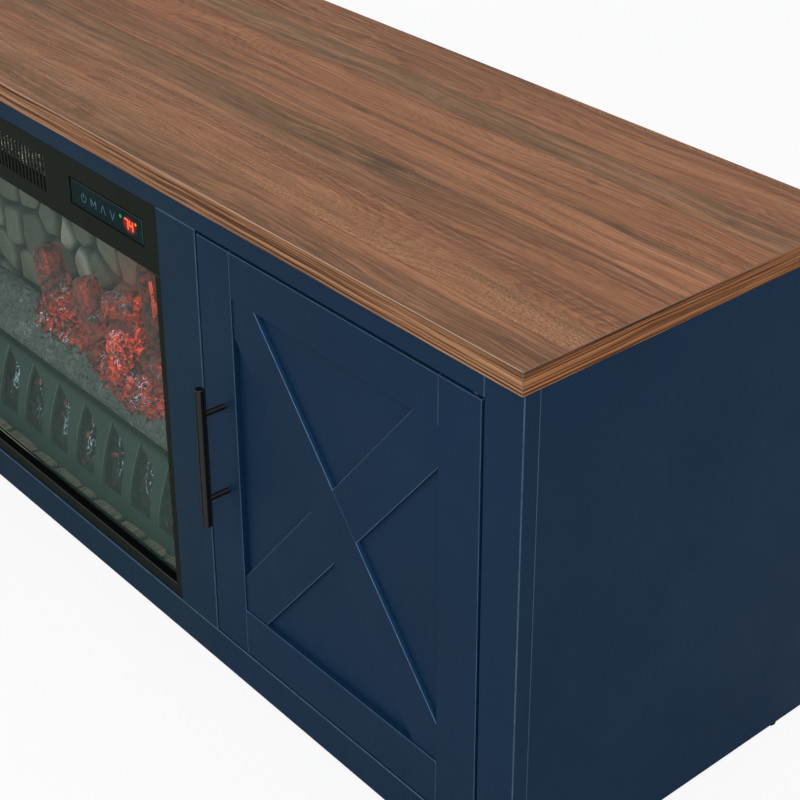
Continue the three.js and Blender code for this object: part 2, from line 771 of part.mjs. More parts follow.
function grate() {
  const base = fireboxZ[0];
  const footTop = base + grateFootHeight;
  const top = base + grateHeight;
  const footY = faceFront + grateFootSetback;
  const railFront = faceFront + grateTopSetback;
  const bulge = grateTopSetback - grateFootSetback;
  const front = [];
  const rear = [];
  for (let i = 0; i <= grateArcSteps; i += 1) {
    const rise = i / grateArcSteps;
    const y = footY + bulge * rise * rise;
    const z = footTop + (top - footTop) * rise;
    front.push([y, z]);
    rear.unshift([y + grateThickness, z]);
  }
  const profile = [
    [footY, base],
    ...front,
    [railFront, top + grateTopRailHeight],
    [railFront + grateTopRailDepth, top + grateTopRailHeight],
    [railFront + grateTopRailDepth, top],
    ...rear,
    [footY + grateThickness, base],
  ];
  const x = [innerX[0] + grateSideGap, innerX[1] - grateSideGap];
  const curved = runAlongX(outline(profile), x);
  const bays = [];
  const baysEachSide = Math.floor(x[1] / grateBayPitch - 1 / 2);
  for (let i = -baysEachSide; i <= baysEachSide; i += 1) {
    const sill = footTop + grateLowRailHeight;
    const place = ([across, up]) => [i * grateBayPitch + across * grateBayWidth, sill + up * (top - sill)];
    const shape = outline(bayOutlineShares.map(place));
    bays.push(standingPlate(shape, footY - overrun, railFront + grateThickness + overrun, 0));
  }
  return cut(curved, ...bays);
}

add(stand, "fire_grate", grate(), grateFinish);

// Log set: a hollow ember bed with charred logs lying on it. The profile's pairs are shares of the
// radius and the length. The places are shares of half the bed's width, of its depth, and heights
// above its crown in large radii.
const logProfileShares = [
  [0, 0],
  [0.7, 0],
  [0.95, 0.05],
  [1, 0.3],
  [0.92, 0.62],
  [1.04, 0.9],
  [0.8, 1],
  [0, 1],
];
const logPlaceShares = [
  { from: [-0.37, 0.3, 0.2], to: [-0.19, 0.4, 3.8], radius: logSmallRadius },
  { from: [-0.16, 0.4, 1.3], to: [-0.18, -0.35, 1.1], radius: logSmallRadius },
  { from: [-0.33, 0.5, 1.7], to: [0.36, 0.45, 2.4], radius: logSmallRadius },
  { from: [0.31, 0.4, 1.2], to: [0.32, -0.3, 1.15], radius: logLargeRadius },
  { from: [-0.05, 0.3, 0.2], to: [0.12, 0.45, 3.7], radius: logSmallRadius },
  { from: [0.2, 0.4, 2.2], to: [0.6, 0.5, 5], radius: logSmallRadius },
  { from: [0.36, 0.35, 0.1], to: [0.76, 0.3, 1.4], radius: logLargeRadius },
  { from: [-0.4, 0.55, -0.1], to: [0.56, 0.55, 0], radius: logSmallRadius },
];

function log(from, to, radius) {
  const start = new THREE.Vector3(...from);
  const end = new THREE.Vector3(...to);
  const length = start.distanceTo(end);
  const profile = logProfileShares.map(([wide, along]) => new THREE.Vector2(wide * radius, along * length));
  const piece = new THREE.LatheGeometry(profile, logFacets);
  const direction = end.clone().sub(start).normalize();
  const turn = new THREE.Quaternion().setFromUnitVectors(new THREE.Vector3(0, 1, 0), direction);
  return piece.applyQuaternion(turn).translate(...from);
}

function logSet() {
  const base = fireboxZ[0];
  const wall = bedThickness;
  const shoulder = base + bedFrontHeight;
  const crown = shoulder + bedRise;
  const shell = outline([
    [bedFront, base],
    [bedFront + wall, base],
    [bedFront + wall, shoulder - wall / 2],
    [bedSlopeBack + wall / 2, crown - wall],
    [bedBack, crown - wall],
    [bedBack, crown],
    [bedSlopeBack, crown],
    [bedFront, shoulder],
  ]);
  const bed = runAlongX(shell, bedX);
  const place = ([xShare, yShare, rise]) => [
    (xShare * bedWidth) / 2,
    bedFront + yShare * (bedBack - bedFront),
    crown + rise * logLargeRadius,
  ];
  const logs = logPlaceShares.map(({ from, to, radius }) => log(place(from), place(to), radius));
  return join(bed, ...logs);
}

add(stand, "log_set", logSet(), emberFinish);

// Heater duct: a sheet scroll that fills the chamber's height, open to the slots and round the wheel
const wheelAt = [0, faceFront + wheelSetback, chamberMiddle];
const ductX = centred(0, ductLength);
const ductFront = faceFront + ductFrontSetback;
const ductZ = [chamberZ[0] + seamGap, chamberZ[1] - seamGap];
const ductHeight = ductZ[1] - ductZ[0];
const wheelDiameter = ductHeight - 2 * (ductSheet + wheelTipGap);

function scroll(inset) {
  const radius = ductHeight / 2 - inset;
  const mouth = inset > 0 ? ductFront - overrun : ductFront;
  const shape = new THREE.Shape();
  shape.moveTo(mouth, wheelAt[2] - radius);
  shape.lineTo(wheelAt[1], wheelAt[2] - radius);
  shape.absarc(wheelAt[1], wheelAt[2], radius, -Math.PI / 2, Math.PI / 2, false);
  shape.lineTo(mouth, wheelAt[2] + radius);
  shape.closePath();
  return shape;
}

function duct() {
  const outer = runAlongX(scroll(0), ductX);
  const inner = runAlongX(scroll(ductSheet), [ductX[0] + ductSheet, ductX[1] - ductSheet]);
  const intakeX = [ductX[0] + ductIntakeMargin, ductX[1] - ductIntakeMargin];
  const intakeZ = [wheelAt[2], ductZ[1] - ductIntakeMargin];
  const intake = block(intakeX, [wheelAt[1], wheelAt[1] + ductHeight], intakeZ);
  const shaftHole = rod(
    shaftDiameter + 2 * shaftClearance,
    ductX[0] - overrun,
    ductX[1] + overrun,
    smallRoundSteps,
    alongX,
    wheelAt,
  );
  return cut(outer, inner, intake, shaftHole);
}

add(stand, "heater_duct", duct(), darkSheet);

// Heating element: a framed stack of upright fins across the duct
function heatingElement() {
  const x = [ductX[0] + ductSheet + elementEndGap, ductX[1] - ductSheet - elementEndGap];
  const y = [faceFront + elementSetback, faceFront + elementSetback + elementDepth];
  const z = [ductZ[0] + ductSheet + elementEndGap, ductZ[1] - ductSheet - elementEndGap];
  const openZ = [z[0] + elementFrame, z[1] - elementFrame];
  const channels = [];
  const count = Math.floor((x[1] - x[0] - 2 * elementFrame) / elementFinPitch);
  for (let i = 0; i < count; i += 1) {
    const middle = (i - (count - 1) / 2) * elementFinPitch;
    channels.push(block(centred(middle, elementFinGap), [y[0] - overrun, y[1] + overrun], openZ));
  }
  return cut(block(x, y, z), ...channels);
}

add(stand, "heating_element", heatingElement(), zincSteel);

// Crossflow wheel: curved blades between end discs on a through shaft
function blowerWheel() {
  const half = ductLength / 2 - ductSheet - wheelGap;
  const radius = wheelDiameter / 2;
  const discs = [-half, half - wheelDiscThickness].map((x) => {
    return rod(wheelDiameter, x, x + wheelDiscThickness, roundSteps, alongX);
  });
  const blades = [];
  for (let i = 0; i < bladeCount; i += 1) {
    const blade = block([-half, half], centred(0, bladeThickness), centred(0, bladeDepth));
    blade.rotateX(bladeTiltAngle);
    blade.translate(0, 0, radius - bladeDepth / 2);
    blade.rotateX((i * 2 * Math.PI) / bladeCount);
    blades.push(blade);
  }
  const shaftEnd = ductLength / 2 + seamGap + blowerMotorLength * motorSocketShare;
  const shaft = rod(shaftDiameter, -ductLength / 2, shaftEnd, smallRoundSteps, alongX);
  return join(shaft, ...discs, ...blades);
}

const wheel = add(stand, "blower_wheel", blowerWheel(), zincSteel);
wheel.position.set(...wheelAt);

// Motor can with a socket that its shaft turns in
function motor(diameter, length, socketDepth) {
  const radius = diameter / 2;
  const socket = shaftDiameter / 2 + shaftClearance;
  const can = length * motorCanShare;
  const profile = [
    [0, socketDepth],
    [socket, socketDepth],
    [socket, 0],
    [radius, 0],
    [radius, can],
    [radius / 2, can],
    [radius / 2, length],
    [0, length],
  ];
  return turned(profile, roundSteps, alongX);
}

const blowerSocket = blowerMotorLength * motorSocketShare + bearingGap;
const blowerMotor = motor(blowerMotorDiameter, blowerMotorLength, blowerSocket);
const fan = add(stand, "blower_motor", blowerMotor, darkSheet);
fan.position.set(ductX[1] + seamGap, wheelAt[1], wheelAt[2]);

// Flame-effect rotor: bright paddles in a twist along a thin shaft under the ember bed
const rotorY = bedFront + bedThickness + rotorGap + rotorPaddleHeight / 2;
const rotorAt = [0, rotorY, fireboxZ[0] + rotorRise];
const rotorMotorFace = innerX[0] + seamGap + rotorMotorLength;

function flameRotor() {
  const shaftX = [rotorMotorFace - rotorMotorLength * motorSocketShare, innerX[1] - bearingGap];
  const shaft = rod(shaftDiameter, shaftX[0], shaftX[1], smallRoundSteps, alongX);
  const paddles = [];
  const pitch = bedWidth / (rotorPaddles + 1);
  for (let i = 0; i < rotorPaddles; i += 1) {
    const middle = (i - (rotorPaddles - 1) / 2) * pitch;
    const flat = [centred(0, rotorPaddleThickness), centred(0, rotorPaddleHeight)];
    const paddle = block(centred(middle, rotorPaddleLength), flat[0], flat[1]);
    paddles.push(paddle.rotateX(i * rotorTwistAngle));
  }
  return join(shaft, ...paddles);
}

const rotor = add(stand, "flame_rotor", flameRotor(), foil);
rotor.position.set(...rotorAt);

const rotorSocket = rotorMotorLength * motorSocketShare + bearingGap;
const rotorDrive = motor(rotorMotorDiameter, rotorMotorLength, rotorSocket);
const drive = add(stand, "flame_rotor_motor", rotorDrive, darkSheet);
drive.position.set(rotorMotorFace, rotorAt[1], rotorAt[2]);
drive.scale.x = -1;

export default stand;
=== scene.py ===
import json
import math
import random

import bmesh
import bpy
import numpy as np
from mathutils import Matrix, Vector, noise


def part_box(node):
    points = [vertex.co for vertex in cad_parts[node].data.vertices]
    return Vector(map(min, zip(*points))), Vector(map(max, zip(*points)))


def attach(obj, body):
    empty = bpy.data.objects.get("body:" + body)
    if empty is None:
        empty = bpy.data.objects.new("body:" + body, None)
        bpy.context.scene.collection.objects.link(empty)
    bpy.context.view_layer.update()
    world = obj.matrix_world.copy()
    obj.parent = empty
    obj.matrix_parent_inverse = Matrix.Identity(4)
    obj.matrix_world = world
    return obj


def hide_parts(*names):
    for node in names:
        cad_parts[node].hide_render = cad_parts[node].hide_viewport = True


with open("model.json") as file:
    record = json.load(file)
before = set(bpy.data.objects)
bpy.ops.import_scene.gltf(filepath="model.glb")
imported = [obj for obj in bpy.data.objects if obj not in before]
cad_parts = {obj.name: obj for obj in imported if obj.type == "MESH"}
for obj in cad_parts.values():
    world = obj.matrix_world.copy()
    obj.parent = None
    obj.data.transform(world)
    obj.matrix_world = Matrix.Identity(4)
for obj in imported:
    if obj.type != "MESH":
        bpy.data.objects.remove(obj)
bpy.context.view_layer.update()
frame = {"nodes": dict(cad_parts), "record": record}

MM = 0.001
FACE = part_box("top_rail")[0].y
NODES = frame["nodes"]

# Camera at the photograph's viewing angle, as solved from the cabinet's straight edges
CAMERA_AT = Vector((1.6548, -1.0300, 1.2508))
CAMERA_AIM = Vector((-0.6803, 0.5772, -0.4517))
CAMERA_RIGHT = Vector((0.6483, 0.7614, -0.0036))
LENS, SENSOR, SHIFT_UP = 82.24, 36.0, -0.18


def in_scene(name, data):
    item = bpy.data.objects.new(name, data)
    bpy.context.scene.collection.objects.link(item)
    return item


def look_camera():
    data = bpy.data.cameras.new("camera")
    data.sensor_width = SENSOR
    data.lens = LENS
    data.shift_y = SHIFT_UP
    data.clip_start = 0.01
    data.clip_end = 100
    back = -CAMERA_AIM.normalized()
    right = (CAMERA_RIGHT - CAMERA_RIGHT.dot(back) * back).normalized()
    turn = Matrix((right, back.cross(right), back)).transposed().to_4x4()
    camera = in_scene("camera", data)
    camera.matrix_world = Matrix.Translation(CAMERA_AT) @ turn
    bpy.context.scene.camera = camera


# Plain arithmetic on the values of a node tree: each operation adds its math node
def operation(name, swapped=False):
    def apply(self, other=0.0):
        return self.graph.math(name, *((other, self) if swapped else (self, other)))
    return apply


class Value:
    def __init__(self, graph, socket):
        self.graph = graph
        self.socket = socket

    __add__, __radd__ = operation("ADD"), operation("ADD", True)
    __sub__, __rsub__ = operation("SUBTRACT"), operation("SUBTRACT", True)
    __mul__, __rmul__ = operation("MULTIPLY"), operation("MULTIPLY", True)
    __truediv__, __pow__ = operation("DIVIDE"), operation("POWER")
    __gt__, __abs__ = operation("GREATER_THAN"), operation("ABSOLUTE")


# Node tree of a material, or of the world
class Graph:
    def __init__(self, name, owner=None):
        self.owner = owner or bpy.data.materials.new(name)
        self.owner.use_nodes = True
        self.tree = self.owner.node_tree
        self.tree.nodes.clear()
        self.object = self.out("Object", "TexCoord")
        self.normal = self.out("Normal", "TexCoord")

    def put(self, socket, value):
        if isinstance(value, Value):
            self.tree.links.new(value.socket, socket)
        elif socket.type == "RGBA":
            socket.default_value = (*value, 1)
        else:
            socket.default_value = value

    def add(self, kind, inputs=None, **props):
        node = self.tree.nodes.new("ShaderNode" + kind)
        for key, value in props.items():
            setattr(node, key, value)
        for key, value in (inputs or {}).items():
            self.put(node.inputs[key], value)
        return node

    def out(self, output, kind, inputs=None, **props):
        return Value(self, self.add(kind, inputs, **props).outputs[output])

    def math(self, name, a, b=0.0, clamp=False):
        return self.out(0, "Math", {0: a, 1: b}, operation=name, use_clamp=clamp)

    def split(self, vector):
        parts = self.add("SeparateXYZ", {"Vector": vector}).outputs
        return [Value(self, part) for part in parts]

    def joined(self, x, y, z):
        return self.out(0, "CombineXYZ", {"X": x, "Y": y, "Z": z})

    def moved(self, shift=(0, 0, 0), scale=(1, 1, 1)):
        return self.out(0, "Mapping", {"Vector": self.object, "Location": shift, "Scale": scale})

    def noise(self, scale, detail=3.0, rough=0.55, vector=None, distortion=0.0):
        inputs = {"Vector": vector or self.object, "Scale": scale, "Detail": detail}
        inputs.update({"Roughness": rough, "Distortion": distortion})
        return self.out("Fac", "TexNoise", inputs)

    # Noise at a scale of its own in each direction, given as coordinates already scaled
    def grain(self, x, y, z, detail, rough):
        return self.noise(1.0, detail, rough, self.joined(x, y, z))

    def range(self, value, low, high, to_low=0.0, to_high=1.0, smooth=False):
        kind = "SMOOTHSTEP" if smooth else "LINEAR"
        inputs = {"Value": value, "From Min": low, "From Max": high, "To Min": to_low, "To Max": to_high}
        return self.out(0, "MapRange", inputs, interpolation_type=kind)

    # 1 where the value lies from full to fading, 0 before start and past end
    def between(self, value, start, full, fading, end):
        return self.range(value, start, full) * self.range(value, end, fading)

    def ramp(self, value, stops):
        node = self.add("ValToRGB", {"Fac": value})
        elements = node.color_ramp.elements
        while len(elements) < len(stops):
            elements.new(0.5)
        for element, (place, colour) in zip(elements, stops):
            element.position = place
            element.color = (*colour, 1)
        return Value(self, node.outputs["Color"])

    def mix(self, factor, a, b, blend="MIX"):
        inputs = {"Factor": factor, "A": a, "B": b}
        return self.out("Result", "Mix", inputs, data_type="RGBA", blend_type=blend)

    # Mixes a second colour in by a share that grows from 0 at low to its full size at high
    def tint(self, colour, value, low, high, share, second, smooth=False):
        return self.mix(self.range(value, low, high, 0.0, share, smooth), colour, second)

    def tints(self, colour, *rows):
        for row in rows:
            colour = self.tint(colour, *row)
        return colour

    # One colour in a darker and a lighter shade
    def mottled(self, colour, value, low, high, dark, light):
        return self.tint(times(colour, dark), value, low, high, 1.0, times(colour, light))

    def attribute(self, name):
        return self.out("Fac", "Attribute", attribute_name=name)

    def bump(self, height, strength, distance, normal=None):
        inputs = {"Height": height, "Strength": strength, "Distance": distance}
        if normal:
            inputs["Normal"] = normal
        return self.out("Normal", "Bump", inputs)

    def finish(self, colour, rough, relief=None, gloss=0.5, **inputs):
        inputs = {key.replace("_", " "): value for key, value in inputs.items()}
        inputs.update({"Base Color": colour, "Roughness": rough, "Specular IOR Level": gloss})
        if relief:
            inputs["Normal"] = relief
        self.add("OutputMaterial", {"Surface": self.out(0, "BsdfPrincipled", inputs)})
        return self.owner


def srgb(red, green, blue):
    def linear(value):
        value /= 255
        return value / 12.92 if value <= 0.04045 else ((value + 0.055) / 1.055) ** 2.4
    return tuple(linear(value) for value in (red, green, blue))


def times(colour, factor):
    return tuple(value * factor for value in colour)


BLACK, WHITE = (0.0, 0.0, 0.0), (1.0, 1.0, 1.0)


# Lit arrises: the eased edges are the faces whose normal isn't along an axis of the board
def arris_mask(g, only_front=False):
    x, y, z = (abs(part) for part in g.split(g.normal))
    if only_front:
        return g.between(y, 0.2, 0.3, 0.9, 0.98)
    return g.range(g.math("MAXIMUM", g.math("MAXIMUM", x, y), z), 0.97, 0.9)


# Satin navy foil, a little greener from the fire's edge to the doors' near stiles
NEAR_FIRE, PAST_FIRE = 0.35, 0.39


def navy(name, only_front=False, roughness=0.46, base=(14, 44, 71)):
    g = Graph(name)
    body = srgb(*base)
    grain = g.noise(900.0, 2.0, 0.6)
    colour = g.mottled(body, g.noise(5.0, 3.0, 0.5), 0.35, 0.65, 0.94, 1.07)
    colour = g.tint(colour, grain, 0.3, 0.8, 0.12, times(body, 1.5))
    beside = g.range(abs(g.split(g.object)[0]), PAST_FIRE, NEAR_FIRE)
    colour = g.mix(beside, colour, g.mix(1.0, colour, (1.0, 1.0, 0.82), "MULTIPLY"))
    # Painted highlight on the eased arrises, broken into patches by a noise, mixed in below
    highlight_patches = g.range(g.noise(60.0, 4.0, 0.7), 0.3, 0.62, 0.55, 1.0)
    edge = arris_mask(g, only_front) * highlight_patches
    if only_front:
        # Painted light: faces turned away from the front, such as the braces' sides, lighter as if lit
        colour = g.tint(colour, abs(g.split(g.normal)[1]), 0.2, 0.05, 0.8, times(body, 2.0))
        colour = g.mix(edge, colour, srgb(104, 124, 150))
    else:
        colour = g.mix(edge * 0.7, colour, srgb(88, 108, 126))
    rough = g.range(g.noise(14.0, 4.0, 0.6), 0.3, 0.7, roughness - 0.05, roughness + 0.06)
    fine = g.bump(grain, 0.12, 0.0001)
    relief = g.bump(g.noise(160.0, 3.0, 0.5), 0.1, 0.0003, fine)
    return g.finish(colour, rough, relief, 0.12)


# Leaves of veneer across the top, in metres and shares: start, middle, how olive at the left and at
# the right, and how strongly the growth lines arch
LEAVES = [
    (-0.3, -0.171, 0.75, 0.3, 0.5), (-0.146, -0.109, 0.35, 0.2, 1.0), (-0.072, -0.043, 0.75, 0.3, 0.35),
    (-0.013, 0.016, 0.15, 0.2, 0.3), (0.046, 0.075, 0.05, 0.25, 0.7), (0.1045, 0.126, 0.95, 0.8, 0.0),
    (0.147, 0.185, 0.35, 0.3, 0.9)]
# Knots: place along and across the top, half sizes, and how dark
KNOTS = [
    (0.452, -0.028, 0.034, 0.022, 0.55), (0.607, 0.09, 0.013, 0.006, 0.6), (0.685, 0.04, 0.024, 0.008, 0.5),
    (0.33, 0.042, 0.024, 0.003, 0.5), (0.155, -0.172, 0.024, 0.009, 0.45),
    (0.475, -0.153, 0.024, 0.006, 0.35), (0.362, 0.125, 0.008, 0.02, 0.35),
    (0.745, 0.122, 0.013, 0.012, 0.4), (-0.21, 0.094, 0.02, 0.007, 0.5), (-0.52, -0.05, 0.03, 0.018, 0.5),
    (-0.63, 0.16, 0.018, 0.009, 0.5), (-0.09, -0.168, 0.02, 0.007, 0.4)]
SMOKY_JOINT = 0.04
SWEEP_START, SWEEP_FULL = -0.134, -0.118
DULL, PALE, DARK, DEEP = srgb(134, 98, 70), srgb(184, 128, 92), srgb(86, 70, 52), srgb(60, 42, 32)


# Walnut laminate: leaves of veneer side by side, with heartwood streaks, arched growth lines, fine
# fibre, short pores, knots and bands of pale flecks, and the band along its edges
def walnut(name):
    g = Graph(name)
    x, y, z = g.split(g.object)
    steps = [y > leaf[0] for leaf in LEAVES[1:]]

    def by_leaf(column):
        value = LEAVES[0][column]
        for step, before, after in zip(steps, LEAVES, LEAVES[1:]):
            value = value + step * (after[column] - before[column])
        return value

    count = sum(steps[1:], steps[0])
    phase = g.out("Value", "TexWhiteNoise", {"W": count}, noise_dimensions="1D")
    along = x + phase * 7.3

    # Noise stretched along the grain, another one in each leaf
    def field(scale_x, scale_y, detail, rough, shift, across=y):
        return g.grain(along * scale_x, across * scale_y, phase * 9.0 + shift, detail, rough)

    sway = (field(2.2, 8.0, 3.0, 0.5, 3.0) - 0.5) * 0.05
    ripple = (field(14.0, 40.0, 2.0, 0.5, 8.0) - 0.5) * 0.005
    across = y + sway + ripple
    # Arched growth lines round a wandering heart
    heart = g.grain(along * 2.1, phase, 0.3, 1.0, 0.4) - 0.5
    local = across - by_leaf(1) + heart * 0.12
    below = g.range(g.grain(along * 2.4, phase, 4.7, 1.5, 0.45), 0.36, 0.64, 0.0, 0.07)
    radius = g.math("SQRT", local ** 2.0 + below ** 2.0)
    turns = (radius + field(8.0, 70.0, 3.0, 0.6, 5.0) * 0.008) * 230.0
    ring = g.math("FRACT", turns) ** 2.0 * g.range(field(2.4, 14.0, 2.0, 0.5, 12.0), 0.36, 0.5) * by_leaf(4)
    fibre = field(7.0, 420.0, 6.0, 0.7, 1.0, across)
    fine = field(22.0, 900.0, 3.0, 0.65, 2.0, across)
    pore = field(70.0, 1200.0, 2.0, 0.6, 4.0, across)
    thin = field(2.6, 120.0, 5.0, 0.62, 11.0, across)
    streak = field(1.3, 34.0, 5.0, 0.6, 6.0, across)
    heartwood = field(0.8, 13.0, 5.0, 0.55, 7.0, across)
    zone = field(1.4, 6.0, 2.0, 0.5, 9.0)
    rightward = g.range(x + (zone - 0.5) * 0.5, 0.32, 0.6)
    olive_left = by_leaf(2)
    olive = olive_left + rightward * (by_leaf(3) - olive_left)
    top = g.mix(olive, srgb(162, 104, 73), srgb(110, 88, 64))
    # The last of these is a smoky streak along the joint between two leaves
    top = g.tints(
        top, (zone, 0.42, 0.58, 0.3, DULL), (streak, 0.47, 0.36, 0.4, PALE),
        (streak, 0.52, 0.66, 0.5, srgb(98, 70, 52)), (heartwood, 0.53, 0.63, 0.5, DARK, True),
        (thin, 0.48, 0.36, 0.35, PALE), (thin, 0.51, 0.64, 0.42, srgb(84, 58, 42)),
        (abs(y + heart * 0.05 - SMOKY_JOINT), 0.009, 0.001, 0.5, DARK, True))
    top = g.mix(ring * 0.6, top, srgb(84, 56, 40))
    # Growth lines that sweep up towards the back edge of the second leaf
    rise = 1.0 - g.range(y + ripple, -0.13, LEAVES[2][0])
    sweep = x - (1.0 - rise * rise) * 0.13 + field(6.0, 50.0, 3.0, 0.6, 21.0) * 0.022
    sweep = g.math("FRACT", sweep * 78.0) ** 1.6
    second_leaf = (steps[0] - steps[1]) * g.range(y, SWEEP_START, SWEEP_FULL)
    sweep = sweep * second_leaf * g.range(zone, 0.38, 0.48, 0.35, 1.0)
    top = g.mix(sweep * 0.42, top, srgb(92, 60, 42))
    top = g.tints(
        top, (fibre, 0.48, 0.34, 0.35, srgb(196, 142, 104)), (fibre, 0.5, 0.64, 0.45, srgb(80, 54, 40)),
        (fine, 0.44, 0.3, 0.4, srgb(196, 144, 108)), (fine, 0.54, 0.68, 0.4, DEEP),
        (pore, 0.6, 0.68, 0.5, DEEP))
    # Smoky knots
    smoke = (g.noise(60.0, 3.0, 0.6) - 0.5) * 1.2
    for knot_x, knot_y, half_x, half_y, depth in KNOTS:
        off_x, off_y = (x - knot_x) / half_x, (y - knot_y) / half_y
        far = g.math("SQRT", off_x * off_x + off_y * off_y) + smoke
        top = g.tint(top, far, 1.0, 0.1, depth, srgb(72, 58, 46), smooth=True)
    # Pale flecks in bands, the widest along the front edge of the second leaf
    flecks = g.grain(x * 260.0, across * 900.0, 0.0, 2.0, 0.6)
    patches = g.range(field(7.0, 60.0, 3.0, 0.6, 19.0), 0.36, 0.6, 0.25, 1.0)
    wide = g.range(y + heart * 0.07, -0.09, -0.134) * patches * steps[0]
    fleck_zone = g.math("MAXIMUM", g.range(field(1.1, 22.0, 2.0, 0.5, 15.0), 0.58, 0.68, 0.0, 0.5), wide)
    top = g.mix(wide * 0.16, top, srgb(196, 144, 104))
    top = g.mix(g.range(flecks, 0.5, 0.62) * fleck_zone * 0.42, top, srgb(204, 156, 112))
    top = g.mix(g.range(flecks, 0.48, 0.38) * fleck_zone * 0.34, top, DEEP)
    # Fine dark seams between the leaves
    for leaf in LEAVES[1:]:
        top = g.tint(top, abs(y - leaf[0]), 0.0011, 0.0004, 0.3, DEEP)
    # Edge band: dark and light streaks along the edge
    run = x + y
    level = z + g.grain(run * 5.0, 0.0, 2.0, 2.0, 0.5) * 0.007
    band = g.grain(run * 2.2, 0.0, level * 480.0, 4.0, 0.65)
    hair = g.grain(run * 14.0, 5.0, level * 1500.0, 3.0, 0.6)
    edge = g.ramp(g.range(band * 0.72 + hair * 0.28, 0.41, 0.58), [
        (0.0, srgb(60, 38, 26)), (0.28, srgb(102, 68, 44)), (0.55, srgb(146, 101, 70)),
        (1.0, srgb(190, 140, 100))])
    normal_x, normal_y, normal_z = (abs(part) for part in g.split(g.normal))
    edge = g.mix(1.0, edge, g.tint(WHITE, normal_x, 0.6, 0.9, 1.0, (0.92, 0.78, 0.62)), "MULTIPLY")
    colour = g.tint(top, normal_z, 0.6, 0.4, 1.0, edge)
    # Pale line where the band meets the top, and the grey joint at the corner
    line = g.tint(srgb(186, 158, 140), normal_x, 0.2, 0.5, 1.0, srgb(118, 104, 94))
    colour = g.mix(g.between(normal_z, 0.3, 0.5, 0.85, 0.95) * 0.7, colour, line)
    upright = g.between(normal_x, 0.3, 0.5, 0.85, 0.95) * g.range(normal_z, 0.3, 0.1)
    colour = g.mix(upright * 0.85, colour, srgb(104, 98, 94))
    relief = g.bump(fibre * 0.6 + g.range(pore, 0.6, 0.7) * -0.8, 0.22, 0.00015)
    rough = g.range(streak, 0.3, 0.7, 0.44, 0.55)
    return g.finish(colour, rough, relief, 0.12)


def speckled(name, base, spread=0.15, scale=300.0, roughness=0.5, metallic=0.0, bump=0.15, edge=None,
             gloss=0.12, sill_shade=None):
    g = Graph(name)
    fine = g.noise(scale, 3.0, 0.6)
    broad = g.noise(scale / 40.0, 3.0, 0.5)
    colour = g.mottled(base, fine, 0.3, 0.7, 1 - spread, 1 + spread)
    colour = g.tint(colour, broad, 0.35, 0.65, 0.5, times(base, 1 + 1.5 * spread))
    # Painted highlight on the arrises
    if edge:
        colour = g.mix(arris_mask(g) * 0.6, colour, edge)
    # Painted shade: up-facing faces low on the part darkened towards this colour
    if sill_shade:
        upward = g.range(g.split(g.normal)[2], 0.75, 0.95)
        colour = g.mix(upward * g.range(g.split(g.object)[2], 0.1, 0.09), colour, sill_shade)
    rough = g.range(broad, 0.3, 0.7, max(0.02, roughness - 0.06), roughness + 0.06)
    return g.finish(colour, rough, g.bump(fine, bump, 0.0002), gloss, Metallic=metallic)


def hardboard(name):
    g = Graph(name)
    fibres = g.noise(1.0, 5.0, 0.65, g.moved(scale=(420.0, 420.0, 130.0)))
    colour = g.ramp(fibres, [(0.25, srgb(66, 50, 38)), (0.5, srgb(92, 71, 54)), (0.8, srgb(120, 95, 72))])
    colour = g.tint(colour, g.noise(9.0, 4.0, 0.6), 0.3, 0.7, 0.35, srgb(74, 58, 46))
    return g.finish(colour, 0.82, g.bump(fibres, 0.35, 0.0003))


# Fire glass: a pale green veil for its tint and a painted reflection, the black border printed along its
# lower edge, and a painted highlight on the border's rim
PRINT_TOP = 65 * MM


def glass(name):
    g = Graph(name)
    x, y, z = g.split(g.object)
    above = z - PRINT_TOP
    # A pale green veil of partial opacity: the glass's green tint and a painted haze of reflected light
    tint_and_reflection_veil = g.noise(3.0, 3.0, 0.5)
    colour = g.tint(srgb(88, 118, 108), tint_and_reflection_veil, 0.3, 0.7, 1.0, srgb(98, 128, 118))
    border = g.range(above, 0.0002, 0.0)
    ink = g.tint(srgb(5, 8, 10), g.noise(500.0, 2.0, 0.6), 0.3, 0.7, 1.0, srgb(9, 13, 15))
    colour = g.mix(border, colour, ink)
    bright = g.between(above, -0.0001, 0.0002, 0.001, 0.0014) * g.range(x, 0.02, -0.04)
    colour = g.mix(bright, colour, srgb(196, 190, 160))
    alpha = g.math("MAXIMUM", g.range(tint_and_reflection_veil, 0.3, 0.7, 0.13, 0.16), border)
    alpha = g.math("MAXIMUM", alpha, bright * 0.7)
    return g.finish(colour, 0.03, Alpha=alpha, IOR=1.5)


# Touch window with a painted shadow along its right and top edges, fine pale lines of painted highlight, and
# a painted red glow round its lit digits
WINDOW_MARGIN = 4.4 * MM
HAZE_X, HAZE_Z, HAZE_WIDE, HAZE_TALL = 250.2 * MM, 467.2 * MM, 14.5 * MM, 10.5 * MM


